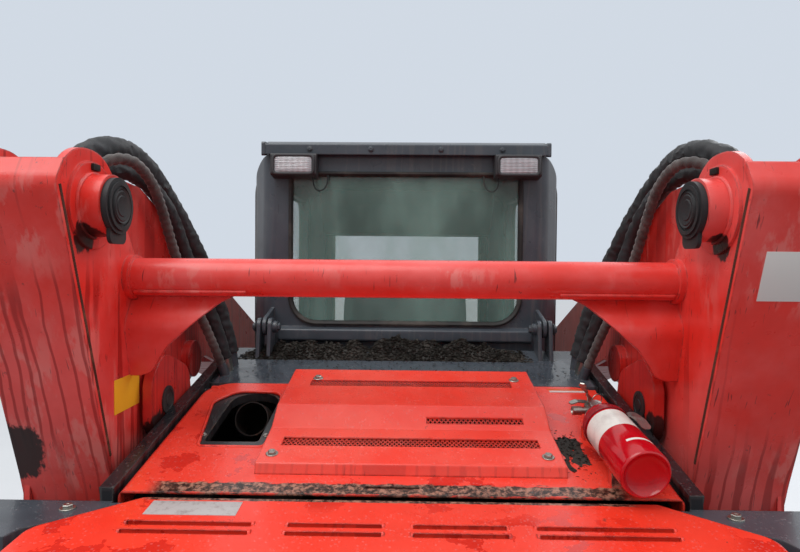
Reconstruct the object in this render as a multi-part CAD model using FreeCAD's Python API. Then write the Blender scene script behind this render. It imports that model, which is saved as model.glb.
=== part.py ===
import FreeCAD, Part
import os
from math import sin, cos, tan, atan2, hypot, pi

os.makedirs("parts", exist_ok=True)

# Skid steer loader standing on level ground with its bucket down and its doors shut.
# Millimetres, Z up, +Y forward, +X to the driver's right, ground at Z 0.

# Clearances
running_gap = 6.0
pin_gap = 0.1
seat_gap = 0.3

# Wheels
rear_axle_y = -920.0
wheelbase = 1100.0
front_axle_y = rear_axle_y + wheelbase
tyre_radius = 420.0
tyre_width = 300.0
rim_radius = 210.0
lug_depth = 26.0
lug_count = 18
spindle_radius = 40.0
axle_z = tyre_radius

# Pivots of the lift linkage, seen from the side as (y, z)
link_foot = (-1270.0, 930.0)
link_head = (-1440.0, 1710.0)
control_rear = (-1135.0, 1240.0)
control_front = (300.0, 930.0)
lift_base = (-1470.0, 550.0)
lift_eye = (-850.0, 1300.0)
tilt_base = (740.0, 930.0)
tilt_eye = (1020.0, 360.0)
coupler_pivot = (985.0, 215.0)

# Pin radii
link_pin = 20.0
head_pin = 25.0
control_pin = 20.0
tilt_pin = 18.0
coupler_pin = 25.0
cab_pin = 12.0
small_pin = 8.0

# Layers across the machine, as distances from the centre plane
frame_half = 500.0
fender_width = 98.0
rail_outer = frame_half + fender_width
rail_width = 26.0
control_thick = 24.0
control_in = rail_outer + 8.0
control_out = control_in + control_thick
link_in = control_out + 10.0
link_width = 195.0
link_out = link_in + link_width
link_plate = 15.0
tower_plate = 20.0
arm_plate = 15.0
cylinder_head = 5.0
leg_in = frame_half + 20.0
tower_in = link_in + link_plate + 5.0
tower_out = link_out - link_plate - 5.0
arm_in = link_in + link_plate + running_gap
arm_out = link_out - link_plate - running_gap
leg_out = arm_in
cylinder_x = (arm_in + arm_out) / 2
cylinder_gap = 12.5
lift_bore = (arm_out - arm_in) / 2 - arm_plate - cylinder_gap - cylinder_head
lift_rod_radius = lift_bore * 0.55
tilt_x = (leg_in + leg_out) / 2
boss_face = link_in - 48.0
wheel_x = frame_half + tyre_width / 2 + 40.0

# Frame
frame_bottom = 210.0
frame_rear = -1600.0
frame_front = 600.0
frame_top = 872.0
frame_plate = 10.0
deck_z = 1000.0
firewall_y = -640.0
bumper_rear = -1700.0
corner_out = link_out + 15.0
corner_rear = -1650.0
corner_top = 1118.0
corner_wall = 8.0

# Hood and rear door
hood_rear_y = -1490.0
hood_tail_y = hood_rear_y + running_gap
hood_rear_z = 1135.0
hood_front_y = -920.0
hood_front_z = 1246.0
hood_half = rail_outer - rail_width - 7.0
hood_sheet = 5.0
hood_hinge = (-945.0, 1221.0)
hinge_boss_in = hood_half - 49.0
door_front_y = -1498.0
door_rear_y = -1770.0
door_nose = frame_half + 5.0
door_half = rail_outer + 64.0
door_bottom = 330.0
door_top = 1130.0
door_rear_top = 1104.0
door_wall = 8.0
rear_hinge = (door_half + 38.0, -1700.0)
screen_left = -308.0
screen_right = 352.0
screen_sheet = 4.0

# Cab
cab_rear = -570.0
cab_front = 550.0
cab_half = frame_half + 50.0
cab_back_half = cab_half - 64.0
cab_floor = 640.0
cab_rise = 8.0
cab_sill = frame_top + cab_rise
cab_top = 1975.0
roof_rise = 55.0
roof_top = cab_top + roof_rise
roof_half = cab_half - 56.0
shoulder = 90.0
ceiling = 24.0
cab_wall = 40.0
cab_sheet = 8.0
window_half = cab_half - 150.0
window_high = cab_top - 70.0
window_low = window_high - 520.0
side_window_low = cab_sill + 120.0
side_window_high = cab_top - 75.0
side_window_end = 440.0
doorway_half = cab_half - 120.0
cab_hinge = (-670.0, 1380.0)
cab_ear = frame_half - 37.0
ear_thick = 12.0
door_frame_half = doorway_half + 12.0
front_hinge = (-door_frame_half - 10.0, 585.0)
door_frame_low = cab_floor + 10.0
door_frame_high = cab_top - 85.0
door_rail = 47.0
door_hinges = (cab_sill - 80.0, cab_top - 375.0)
lamp_low = cab_top - 87.0
seat_z = cab_sill + 20.0
seat_rail = 16.0
console_out = frame_half - 115.0
console_width = 110.0
engine_half = 270.0

# Cross tube between the rear links
cross_tube = (-1260.0, 1560.0)
cross_tube_radius = 44.5

# Exhaust
exhaust_x = -402.0
exhaust_y = -975.0
exhaust_radius = 45.0
exhaust_wall = 3.0
exhaust_mouth = (-1080.0, 1178.0)
exhaust_rise = 20.0
collar_half = 65.0
collar_rear = -1268.0
collar_front = -990.0
collar_sheet = 3.0

# Hand extinguisher on the hood
bottle_radius = 50.0
bottle_base = (468.0, -1535.0, 1200.0)
bottle_neck = (452.0, -1190.0, 1262.0)

# Hoses, as points (x, y, z) of their routes
hose_upper_radius = 22.0
hose_lower_radius = 14.0
hose_foot_z = 1640.0
hose_socket = 22.0
hose_upper = [
    (742, -1366, hose_foot_z), (740, -1380, 1755), (728, -1338, 1858), (696, -1240, 1902), (660, -1125, 1872),
    (628, -1018, 1795), (602, -928, 1682), (576, -852, 1545), (556, -802, 1405), (549, -786, 1310)]
hose_lower = [
    (694, -1350, hose_foot_z), (694, -1360, 1735), (692, -1335, 1812), (640, -1275, 1842), (624, -1190, 1800),
    (626, -1112, 1722), (624, -1045, 1618), (606, -975, 1500), (576, -905, 1385), (552, -868, 1290)]

# Coupler and bucket
coupler_face = 1085.0
bucket_back = 1100.0
bucket_lip = 1770.0
bucket_half = 838.0
bucket_height = 560.0
bucket_plate = 12.0


# Basic shapes

def box(x0, x1, y0, y1, z0, z1):
    return Part.makeBox(x1 - x0, y1 - y0, z1 - z0, FreeCAD.Vector(x0, y0, z0))


def rod_x(at, radius, x0, x1):
    return Part.makeCylinder(radius, x1 - x0, FreeCAD.Vector(x0, at[0], at[1]), FreeCAD.Vector(1, 0, 0))


def rod_z(x, y, radius, z0, z1):
    return Part.makeCylinder(radius, z1 - z0, FreeCAD.Vector(x, y, z0))


def rod_between(start, end, radius):
    way = end - start
    return Part.makeCylinder(radius, way.Length, start, way)


def fused(shapes):
    result = shapes[0]
    if len(shapes) > 1:
        result = result.fuse(shapes[1:])
    return result.removeSplitter()


def mirrored(shape):
    return shape.mirror(FreeCAD.Vector(0, 0, 0), FreeCAD.Vector(1, 0, 0))


def with_mirror(shapes):
    return shapes + [mirrored(shape) for shape in shapes]


def both_sides(shape):
    return Part.makeCompound([shape, mirrored(shape)])


# Outlines with rounded corners, as points (u, v, corner radius)

def corner(before, here, after):
    u, v, radius = here
    back = (before[0] - u, before[1] - v)
    ahead = (after[0] - u, after[1] - v)
    back_length = hypot(*back)
    ahead_length = hypot(*ahead)
    back = (back[0] / back_length, back[1] / back_length)
    ahead = (ahead[0] / ahead_length, ahead[1] / ahead_length)
    cross = back[0] * ahead[1] - back[1] * ahead[0]
    if radius <= 0 or abs(cross) < 1e-4:
        return (u, v), None, (u, v)
    half = atan2(abs(cross), back[0] * ahead[0] + back[1] * ahead[1]) / 2
    reach = radius / tan(half)
    middle = (back[0] + ahead[0], back[1] + ahead[1])
    length = hypot(*middle)
    depth = radius / sin(half) - radius
    start = (u + back[0] * reach, v + back[1] * reach)
    top = (u + middle[0] / length * depth, v + middle[1] / length * depth)
    end = (u + ahead[0] * reach, v + ahead[1] * reach)
    return start, top, end


def rounded_wire(points, place):
    count = len(points)
    corners = [corner(points[i - 1], points[i], points[(i + 1) % count]) for i in range(count)]
    edges = []
    for i in range(count):
        start, top, end = corners[i]
        following = corners[(i + 1) % count][0]
        if top:
            edges.append(Part.Arc(place(*start), place(*top), place(*end)).toShape())
        if hypot(end[0] - following[0], end[1] - following[1]) > 1e-6:
            edges.append(Part.makeLine(place(*end), place(*following)))
    return Part.Wire(edges)


def side_plate(points, x0, x1):
    # outline in (y, z, radius), thick from x0 to x1
    wire = rounded_wire(points, lambda u, v: FreeCAD.Vector(x0, u, v))
    return Part.Face(wire).extrude(FreeCAD.Vector(x1 - x0, 0, 0))


def wall_plate(points, y0, y1):
    # outline in (x, z, radius), thick from y0 to y1
    wire = rounded_wire(points, lambda u, v: FreeCAD.Vector(u, y0, v))
    return Part.Face(wire).extrude(FreeCAD.Vector(0, y1 - y0, 0))


def flat_plate(points, z0, z1):
    # outline in (x, y, radius), thick from z0 to z1
    wire = rounded_wire(points, lambda u, v: FreeCAD.Vector(u, v, z0))
    return Part.Face(wire).extrude(FreeCAD.Vector(0, 0, z1 - z0))


def folded(path, thick):
    # closed outline of a bent sheet: the path and its copy at a distance to the path's right
    moved = []
    for i, (u, v, radius) in enumerate(path):
        ways = []
        for a, b in ((i - 1, i), (i, i + 1)):
            if 0 <= a and b < len(path):
                du = path[b][0] - path[a][0]
                dv = path[b][1] - path[a][1]
                ways.append((dv / hypot(du, dv), -du / hypot(du, dv)))
        nu = sum(way[0] for way in ways)
        nv = sum(way[1] for way in ways)
        length = hypot(nu, nv)
        nu /= length
        nv /= length
        reach = thick / (nu * ways[0][0] + nv * ways[0][1])
        turn = 0.0
        if len(ways) == 2:
            turn = ways[0][0] * ways[1][1] - ways[0][1] * ways[1][0]
        inner = radius
        if radius > 0:
            inner = radius + thick if turn > 0 else max(radius - thick, 0)
        moved.append((u + nu * reach, v + nv * reach, inner))
    return list(path) + moved[::-1]


def ring_x(profile, at, x_mid):
    # profile in (x, radius), turned about the axis along X through at
    points = [FreeCAD.Vector(x_mid + x, at[0], at[1] + r) for x, r in profile]
    face = Part.Face(Part.makePolygon(points + [points[0]]))
    return face.revolve(FreeCAD.Vector(0, at[0], at[1]), FreeCAD.Vector(1, 0, 0), 360)


def along(start, end, reach):
    length = hypot(end[0] - start[0], end[1] - start[1])
    step = reach / length
    return (start[0] + (end[0] - start[0]) * step, start[1] + (end[1] - start[1]) * step)


def hood_z(y):
    slope = (hood_front_z - hood_rear_z) / (hood_front_y - hood_rear_y)
    return hood_rear_z + slope * (y - hood_rear_y)


def window_outline(half, low, high, foot, head):
    return [(-half, low, foot), (half, low, foot), (half, high, head), (-half, high, head)]


# Wheels

def tyre(at):
    half = tyre_width / 2
    tread = tyre_radius - lug_depth
    bead = rim_radius - 4
    outside = [
        (half - 38, bead), (half - 24, rim_radius + 22), (half - 4, rim_radius + 70),
        (half, rim_radius + 110),
        (half - 8, tread - 22), (half - 26, tread - 4)]
    inside = [
        (half - 62, bead), (half - 50, rim_radius + 30), (half - 26, rim_radius + 80),
        (half - 30, tread - 48)]
    profile = [(-x, r) for x, r in outside] + [(0, tread + 4)] + outside[::-1]
    profile += inside + [(0, tread - 30)] + [(-x, r) for x, r in inside[::-1]]
    carcass = ring_x(profile, at, wheel_x)
    bar = [(-8, -24), (half - 26, 14), (half - 1, 20), (half - 1, 62), (half - 30, 56), (-8, 12)]
    placed = [(wheel_x + u, at[0] + v, 0) for u, v in bar]
    lug = flat_plate(placed, at[1] + tread - 20, at[1] + tyre_radius + 4)
    limit = [
        (-half, tread - 30), (half, tread - 30), (half, tread - 2), (half - 14, tyre_radius),
        (-half + 14, tyre_radius), (-half, tread - 2)]
    lug = lug.common(ring_x(limit, at, wheel_x))
    centre = FreeCAD.Vector(wheel_x, at[0], at[1])
    axis = FreeCAD.Vector(1, 0, 0)
    other = lug.mirror(centre, axis)
    other.rotate(centre, axis, 180.0 / lug_count)
    lugs = []
    for i in range(lug_count):
        for first in (lug, other):
            one = first.copy()
            one.rotate(centre, axis, 360.0 / lug_count * i)
            lugs.append(one)
    return carcass.fuse(lugs)


def rim(at):
    half = tyre_width / 2
    barrel = [
        (-half + 34, rim_radius - 4), (-half + 34, rim_radius - 14), (-half + 60, rim_radius - 20),
        (20, rim_radius - 40),
        (half - 60, rim_radius - 20), (half - 34, rim_radius - 14), (half - 34, rim_radius - 4)]
    bore = spindle_radius + pin_gap
    disc = [
        (12, rim_radius - 30), (18, rim_radius - 62), (34, 110), (24, 90), (24, 62), (44, 58), (50, 50),
        (50, 0), (-30, 0),
        (-30, bore), (-80, bore), (-80, 62), (4, 70), (6, 96), (16, 112), (2, rim_radius - 62),
        (0, rim_radius - 30)]
    wheel = fused([ring_x(barrel, at, wheel_x), ring_x(disc, at, wheel_x)])
    nuts = []
    for i in range(8):
        angle = 2 * pi * (i + 0.5) / 8
        spot = (at[0] + 77 * cos(angle), at[1] + 77 * sin(angle))
        nuts.append(rod_x(spot, 11, wheel_x + 20, wheel_x + 42))
    return fused([wheel] + nuts)


# Frame

def main_frame():
    lip = 20.0
    side = side_plate([
        (frame_rear, frame_bottom + 90, 0), (frame_rear + 70, frame_bottom, 40),
        (frame_front - 60, frame_bottom, 40),
        (frame_front, frame_bottom + 90, 40), (frame_front, frame_top, 0), (firewall_y + 20, frame_top, 0),
        (firewall_y + 20, deck_z, 0), (hood_rear_y, deck_z, 0), (hood_rear_y, frame_bottom + 110, 0),
        (frame_rear, frame_bottom + 110, 0)], frame_half - frame_plate, frame_half)
    fender = box(frame_half, rail_outer, firewall_y, frame_front, frame_top - frame_plate, frame_top)
    fender_lip = box(rail_outer - 8, rail_outer, firewall_y, frame_front, frame_top - lip, frame_top)
    deck = box(frame_half, rail_outer, hood_rear_y, firewall_y, deck_z - frame_plate, deck_z)
    web = box(frame_half, rail_outer, firewall_y - 8, firewall_y, frame_top - frame_plate, deck_z)
    lug = side_plate([
        (control_front[0] - 90, frame_top - 5, 0), (control_front[0] + 90, frame_top - 5, 0),
        (control_front[0] + 42, control_front[1] + 42, 41),
        (control_front[0] - 42, control_front[1] + 42, 41)],
        control_in - running_gap - 20, control_in - running_gap)
    pin = rod_x(control_front, control_pin, control_in - running_gap - 2, control_out + 3)
    keeper = rod_x(control_front, control_pin + 14, control_out + 3, control_out + 8)
    case = wall_cover()
    side_parts = [side, fender, fender_lip, deck, web, lug, pin, keeper, case]
    for y in (cab_rear + 60, cab_front - 60):
        side_parts.append(box(frame_half - 22, frame_half, y - 30, y + 30, frame_top - 14,
            cab_sill - seat_gap))
    inner = frame_half - frame_plate
    across = [
        box(-inner, inner, frame_rear + 60, frame_front - 50, frame_bottom, frame_bottom + frame_plate),
        box(-inner, inner, firewall_y - 5, firewall_y + 5, frame_bottom, deck_z),
        box(-inner, inner, frame_front - 60, frame_front - 50, frame_bottom, 560),
        box(-inner, inner, frame_rear + 60, frame_rear + 70, frame_bottom, frame_bottom + 110)]
    return fused(with_mirror(side_parts) + across)


def wall_cover():
    # cover of the drive chains, proud of the frame's side between the wheels
    low = axle_z - 75
    high = axle_z + 75
    mid = (rear_axle_y + front_axle_y) / 2
    return side_plate([
        (mid - 250, low, 60), (mid + 250, low, 60), (mid + 250, high, 60), (mid - 250, high, 60)],
        frame_half, frame_half + 6)


def axle_housings():
    shapes = []
    for y in (rear_axle_y, front_axle_y):
        at = (y, axle_z)
        tube = rod_x(at, 66, frame_half, wheel_x - 80 - running_gap)
        flange = rod_x(at, 105, frame_half, frame_half + 18)
        spindle = rod_x(at, spindle_radius, frame_half, wheel_x - 40)
        bolts = []
        for i in range(6):
            angle = 2 * pi * i / 6
            bolts.append(rod_x((y + 86 * cos(angle), axle_z + 86 * sin(angle)), 10, frame_half + 18,
                frame_half + 26))
        shapes.append(fused([tube, flange, spindle] + bolts))
    return Part.makeCompound(with_mirror(shapes))


def link_towers():
    y, z = link_foot
    low = 260.0
    profile = [
        (-1560, low, 0), (-1372, low, 0), (-1372, 500, 100), (-1345, 610, 100), (-1265, 750, 100),
        (y + 80, z - 60, 40), (y + 80, z + 80, 79), (y - 80, z + 80, 79), (-1560, 800, 60)]
    inner = side_plate(profile, tower_in, tower_in + tower_plate)
    outer = side_plate(profile, tower_out - tower_plate, tower_out)
    back = box(tower_in - 20, tower_out, -1575, -1560, low, 800)
    foot_in = tower_in - 48
    foot = box(foot_in, tower_out, -1560, -1372, low, low + 15)
    tie = box(frame_half, tower_in, -1487, -1472, low, 780)
    foot_tie = box(frame_half, foot_in, -1472, -1372, low, low + 15)
    side = fused([inner, outer, back, foot, tie, foot_tie])
    for at, radius in ((link_foot, link_pin), (lift_base, link_pin)):
        side = side.cut(rod_x(at, radius, tower_in - 5, tower_out + 5))
    return both_sides(side)


def frame_pins():
    shapes = [
        rod_x(link_foot, link_pin, link_in - 4, tower_in + tower_plate),
        rod_x(link_foot, link_pin, tower_out - tower_plate, link_out + 4),
        rod_x(lift_base, link_pin, tower_in, tower_out)]
    return Part.makeCompound(with_mirror(shapes))


def hood_surround():
    rail_in = rail_outer - rail_width
    front = hood_front_y + 10
    rail = side_plate([
        (hood_rear_y, deck_z, 0), (firewall_y, deck_z, 0), (firewall_y, 1312, 12),
        (front, hood_z(hood_front_y) + 12, 60), (hood_rear_y, hood_rear_z + 10, 8)], rail_in, rail_outer)
    lip = folded([(hood_rear_y, hood_rear_z + 10, 0), (front, hood_z(hood_front_y) + 12, 60),
        (firewall_y, 1312, 0)], 14)
    bead = side_plate(lip, rail_in - 2, rail_outer + 2)
    apron = side_plate(folded([
        (hood_front_y + running_gap, hood_front_z - 6, 0), (-700, 1286, 40), (firewall_y, 1304, 0)], 12),
        -rail_in, rail_in)
    flange = side_plate(folded([
        (hood_front_y + running_gap, hood_front_z - 60, 0),
        (hood_front_y + running_gap, hood_front_z - 7, 0)], 6),
        -rail_in, rail_in)
    wall = box(-rail_in, rail_in, firewall_y - 8, firewall_y, deck_z, 1300)
    lug = side_plate([
        (cab_hinge[0] - 50, 1280, 0), (firewall_y, 1290, 0), (firewall_y, cab_hinge[1] + 6, 20),
        (cab_hinge[0] + 24, cab_hinge[1] + 30, 22), (cab_hinge[0] - 30, cab_hinge[1] + 30, 26)],
        cab_ear - 2 * ear_thick - 1, cab_ear - ear_thick - 1)
    lug_out = lug.copy()
    lug_out.translate(FreeCAD.Vector(3 * ear_thick, 0, 0))
    cab_pins = rod_x(cab_hinge, cab_pin, cab_ear - 33, cab_ear + 31)
    nut = rod_x(cab_hinge, cab_pin + 8, cab_ear - 37, cab_ear - 25)
    hood_pins = rod_x(hood_hinge, small_pin, hinge_boss_in + 3, rail_in + 6)
    fittings = [hose_fitting(hose_upper, hose_upper_radius), hose_fitting(hose_lower, hose_lower_radius)]
    return fused(with_mirror([rail, bead, lug, lug_out, cab_pins, nut, hood_pins] + fittings) + [apron,
        flange, wall])


def hose_fitting(points, radius):
    end = FreeCAD.Vector(*points[-1])
    way = (end - FreeCAD.Vector(*points[-2])).normalize()
    return rod_between(end + way * seat_gap, end + way * 46, radius)


def hose_socket_at(points, radius):
    start = FreeCAD.Vector(*points[0])
    way = (start - FreeCAD.Vector(*points[1])).normalize()
    return rod_between(start + way * seat_gap, start + way * hose_socket, radius)


def corner_post():
    # plan of the post beside the rear door, from the rail's end out to the rear corner
    plan = [
        (door_nose + 10, hood_rear_y, 0), (rail_outer, hood_rear_y, 0), (corner_out, hood_rear_y, 20),
        (corner_out, corner_rear, 30), (door_half + 22, corner_rear, 0),
        (door_half + 14, door_front_y - 118, 30),
        (door_nose + 10, door_front_y, 0)]
    lid = flat_plate(plan, corner_top - corner_wall, corner_top)
    lid = lid.cut(box(door_nose, hood_half + running_gap, hood_rear_y - 8, hood_rear_y + 1, deck_z,
        corner_top + 1))
    skin = folded([
        (door_nose + 10, door_front_y, 0), (door_half + 14, door_front_y - 118, 30),
        (door_half + 22, corner_rear, 0),
        (corner_out, corner_rear, 30), (corner_out, -1575, 0)], -corner_wall)
    wall = flat_plate(skin, 300, corner_top)
    stay = box(tower_in - 20, corner_out - corner_wall, -1583, -1575, 300, 800)
    tie = box(door_nose + 10, rail_outer, hood_rear_y - 7, hood_rear_y + 3, 300, 780)
    return fused([lid, wall, stay, tie])


def corner_panels():
    post = corner_post()
    lugs = []
    for z in (450, 900):
        for low in (z - 16, z + 61):
            lugs.append(flat_plate([
                (rear_hinge[0] - 14, rear_hinge[1] - 14, 13), (rear_hinge[0] + 14, rear_hinge[1] - 14, 13),
                (rear_hinge[0] + 24, corner_rear + 4, 0), (rear_hinge[0] - 14, corner_rear + 4, 0)], low,
                low + 15))
        lugs.append(rod_z(rear_hinge[0], rear_hinge[1], small_pin, z - 10, z + 70))
    return Part.makeCompound([fused([post] + lugs), mirrored(post)])


def rear_bumper():
    bar = side_plate([
        (bumper_rear, 210, 20), (corner_rear, 210, 0), (corner_rear, 300, 0), (bumper_rear, 300, 20)],
        -corner_out + 30, corner_out - 30)
    bar = bar.cut(box(-corner_out + 38, corner_out - 38, bumper_rear + 8, corner_rear, 218, 292))
    stays = []
    for x in (frame_half - 2 * frame_plate, -frame_half + frame_plate):
        stays.append(box(x, x + frame_plate, bumper_rear + 8, frame_rear + 60, 218, 292))
    return fused([bar] + stays)


def tail_lamps():
    x0 = corner_out - 114
    x1 = corner_out - 24
    outline = [(x0, 850, 16), (x1, 850, 16), (x1, 930, 16), (x0, 930, 16)]
    return both_sides(wall_plate(outline, corner_rear - 16, corner_rear))


def engine_block():
    body = box(-engine_half, engine_half, -1470, -780, 330, 900)
    feet = []
    for x in (10 - engine_half, engine_half - 70):
        for y in (-1440, -900):
            feet.append(box(x, x + 60, y, y + 80, frame_bottom + frame_plate, 330))
    return fused([body] + feet)


def exhaust_pipe():
    # upright pipe from the muffler, bent to the rear so that its mouth looks back and up
    rise = exhaust_rise * pi / 180
    bend = 85.0
    mouth = FreeCAD.Vector(exhaust_x, exhaust_mouth[0], exhaust_mouth[1])
    way = FreeCAD.Vector(0, cos(rise), -sin(rise))
    reach = bend * tan((pi / 2 - rise) / 2)
    knee = mouth + way * ((exhaust_y - exhaust_mouth[0]) / cos(rise))
    start = knee - way * reach
    end = knee - FreeCAD.Vector(0, 0, reach)
    middle = end - FreeCAD.Vector(0, bend, 0)
    foot = FreeCAD.Vector(exhaust_x, exhaust_y, 930)
    pipes = []
    for radius, past in ((exhaust_radius, 0.0), (exhaust_radius - exhaust_wall, 1.0)):
        disc = Part.Face(Part.Wire(Part.makeCircle(radius, end, FreeCAD.Vector(0, 0, 1))))
        elbow = disc.revolve(middle, FreeCAD.Vector(1, 0, 0), 90 - exhaust_rise)
        pipes.append(fused([rod_between(foot, end, radius), elbow,
            rod_between(start, mouth - way * past, radius)]))
    muffler = rod_x((exhaust_y, 930), 75, exhaust_x - 40, -engine_half)
    return fused([muffler, pipes[0]]).cut(pipes[1])


def exhaust_collar():
    # plate under the hood's opening, with a skirt round the pipe's mouth
    plate_limit = flat_plate([
        (exhaust_x - 128, collar_rear - 50, 0), (screen_left - 6, collar_rear - 50, 0),
        (screen_left - 6, collar_front + 24, 0),
        (exhaust_x - 128, collar_front + 24, 60)], deck_z, hood_front_z)
    plate = plate_limit.common(below_hood(hood_sheet, hood_sheet + collar_sheet))
    skirt = flat_plate(collar_outline(collar_sheet), deck_z, hood_front_z)
    skirt = skirt.common(below_hood(hood_sheet + 1, hood_sheet + 24))
    hole = flat_plate(collar_outline(0), deck_z, hood_front_z)
    return fused([plate, skirt]).cut(hole)


# Hood and rear door

def collar_outline(grow):
    half = collar_half + grow
    return [
        (exhaust_x - half, collar_rear - grow, 10), (exhaust_x + half, collar_rear - grow, 10),
        (exhaust_x + half, collar_front + grow, half - 2), (exhaust_x - half, collar_front + grow, half - 2)]


def exhaust_opening():
    # cut in the hood, wider than the collar at its rear corners
    right = screen_left - 8
    side = exhaust_x + collar_half
    return [
        (exhaust_x - 68, -1300, 12), (right, -1300, 0), (right, -1052, 4), (side + 6, -1052, 0),
        (side, collar_front - 4, 50), (exhaust_x - collar_half, collar_front, 60),
        (exhaust_x - 110, -1062, 50)]


def below_hood(high, low):
    # layer under the hood's top, between two depths
    return side_plate([
        (hood_tail_y, hood_z(hood_tail_y) - low, 0), (hood_front_y, hood_front_z - low, 0),
        (hood_front_y, hood_front_z - high, 0), (hood_tail_y, hood_z(hood_tail_y) - high, 0)],
        -hood_half, hood_half)


def hood_panel():
    plan = [
        (-hood_half, hood_tail_y, 0), (hood_half, hood_tail_y, 0), (hood_half, hood_front_y, 85),
        (-hood_half, hood_front_y, 85)]
    inner_plan = [
        (-hood_half + hood_sheet, hood_tail_y - 1, 0), (hood_half - hood_sheet, hood_tail_y - 1, 0),
        (hood_half - hood_sheet, hood_front_y - hood_sheet, 80),
        (-hood_half + hood_sheet, hood_front_y - hood_sheet, 80)]
    skirt = 48.0
    band = side_plate([
        (hood_tail_y, hood_z(hood_tail_y) - skirt, 0), (hood_front_y, hood_front_z - skirt, 0),
        (hood_front_y, hood_front_z, 0), (hood_tail_y, hood_z(hood_tail_y), 0)], -hood_half, hood_half)
    shell = flat_plate(plan, deck_z, hood_front_z + 10).common(band)
    top_edges = [e for e in shell.Edges if all(abs(v.Z - hood_z(v.Y)) < 0.01 for v in e.Vertexes)
                 and not all(abs(v.Y - hood_tail_y) < 0.01 for v in e.Vertexes)]
    shell = shell.makeFillet(14, top_edges)
    cavity = side_plate([
        (hood_tail_y - 1, hood_z(hood_tail_y) - skirt - 20, 0), (hood_front_y, hood_front_z - skirt - 20, 0),
        (hood_front_y, hood_front_z - hood_sheet, 0), (hood_tail_y - 1, hood_z(hood_tail_y) - hood_sheet, 0)],
        -hood_half, hood_half)
    shell = shell.cut(flat_plate(inner_plan, deck_z, hood_front_z).common(cavity))
    shell = shell.cut(flat_plate(exhaust_opening(), deck_z, hood_front_z + 40))
    cradles = []
    for y in (-1450, -1250):
        z = hood_z(y)
        cradles.append(box(bottle_base[0] - 36, bottle_base[0] + 20, y, y + 24, z - 3, z + 40))
    slot = box(-70, 40, hood_tail_y + 22, hood_tail_y + 32, hood_rear_z - 20, hood_rear_z + 30)
    shell = shell.fuse(cradles).cut(slot).cut(bottle(bottle_radius + seat_gap))
    boss = rod_x(hood_hinge, 16, hinge_boss_in, hinge_boss_in + 36)
    bore = rod_x(hood_hinge, small_pin + pin_gap, hinge_boss_in - 1, hood_half + 1)
    return shell.fuse(with_mirror([boss])).cut(bore).cut(mirrored(bore))


def screen_path():
    return [
        (-1416, hood_z(-1416), 0), (-1410, hood_z(-1410) + 22, 5), (-1256, hood_z(-1256) + 24, 12),
        (-1190, hood_z(-1190) + 52, 12), (-950, hood_z(-950) + 50, 20), (-918, hood_z(-918) + 26, 0)]


def screen_windows():
    # (x from, x to, y from, y to) of the perforated bands
    return [
        (screen_left + 40, screen_right - 40, -1336, -1298),
        (screen_left + 60, screen_right - 60, -1070, -1030),
        (60, screen_right - 60, -1240, -1222)]


def hood_screen():
    path = screen_path()
    top = side_plate(folded(path, screen_sheet), screen_left, screen_right)
    cheek_outline = path + [(-918, hood_z(-918), 0)]
    cheek = side_plate(cheek_outline, screen_left, screen_left + screen_sheet)
    other = side_plate(cheek_outline, screen_right - screen_sheet, screen_right)
    above = side_plate([
        (-1430, hood_z(-1430), 0), (-900, hood_z(-900), 0), (-900, hood_front_z + 90, 0),
        (-1430, hood_front_z + 90, 0)], screen_left, screen_right)
    shell = fused([top, cheek, other]).common(above)
    for x0, x1, y0, y1 in screen_windows():
        shell = shell.cut(box(x0, x1, y0, y1, hood_rear_z, hood_front_z + 90))
    return shell


def screen_mesh():
    path = screen_path()
    under = side_plate(folded(path, screen_sheet + 2), screen_left + 6, screen_right - 6)
    under = under.cut(side_plate(folded(path, screen_sheet), screen_left, screen_right))
    plates = []
    for x0, x1, y0, y1 in screen_windows():
        plates.append(under.common(box(x0 - 12, x1 + 12, y0 - 12, y1 + 12, hood_rear_z, hood_front_z + 90)))
    return Part.makeCompound(plates)


def door_plan(inset):
    return [
        (-door_nose + inset * 0.6, door_front_y - inset, 10),
        (door_nose - inset * 0.6, door_front_y - inset, 10),
        (door_half - inset, door_front_y - 118 - inset * 0.5, 40),
        (door_half - inset, door_rear_y + inset, 70),
        (-door_half + inset, door_rear_y + inset, 70),
        (-door_half + inset, door_front_y - 118 - inset * 0.5, 40)]


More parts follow.
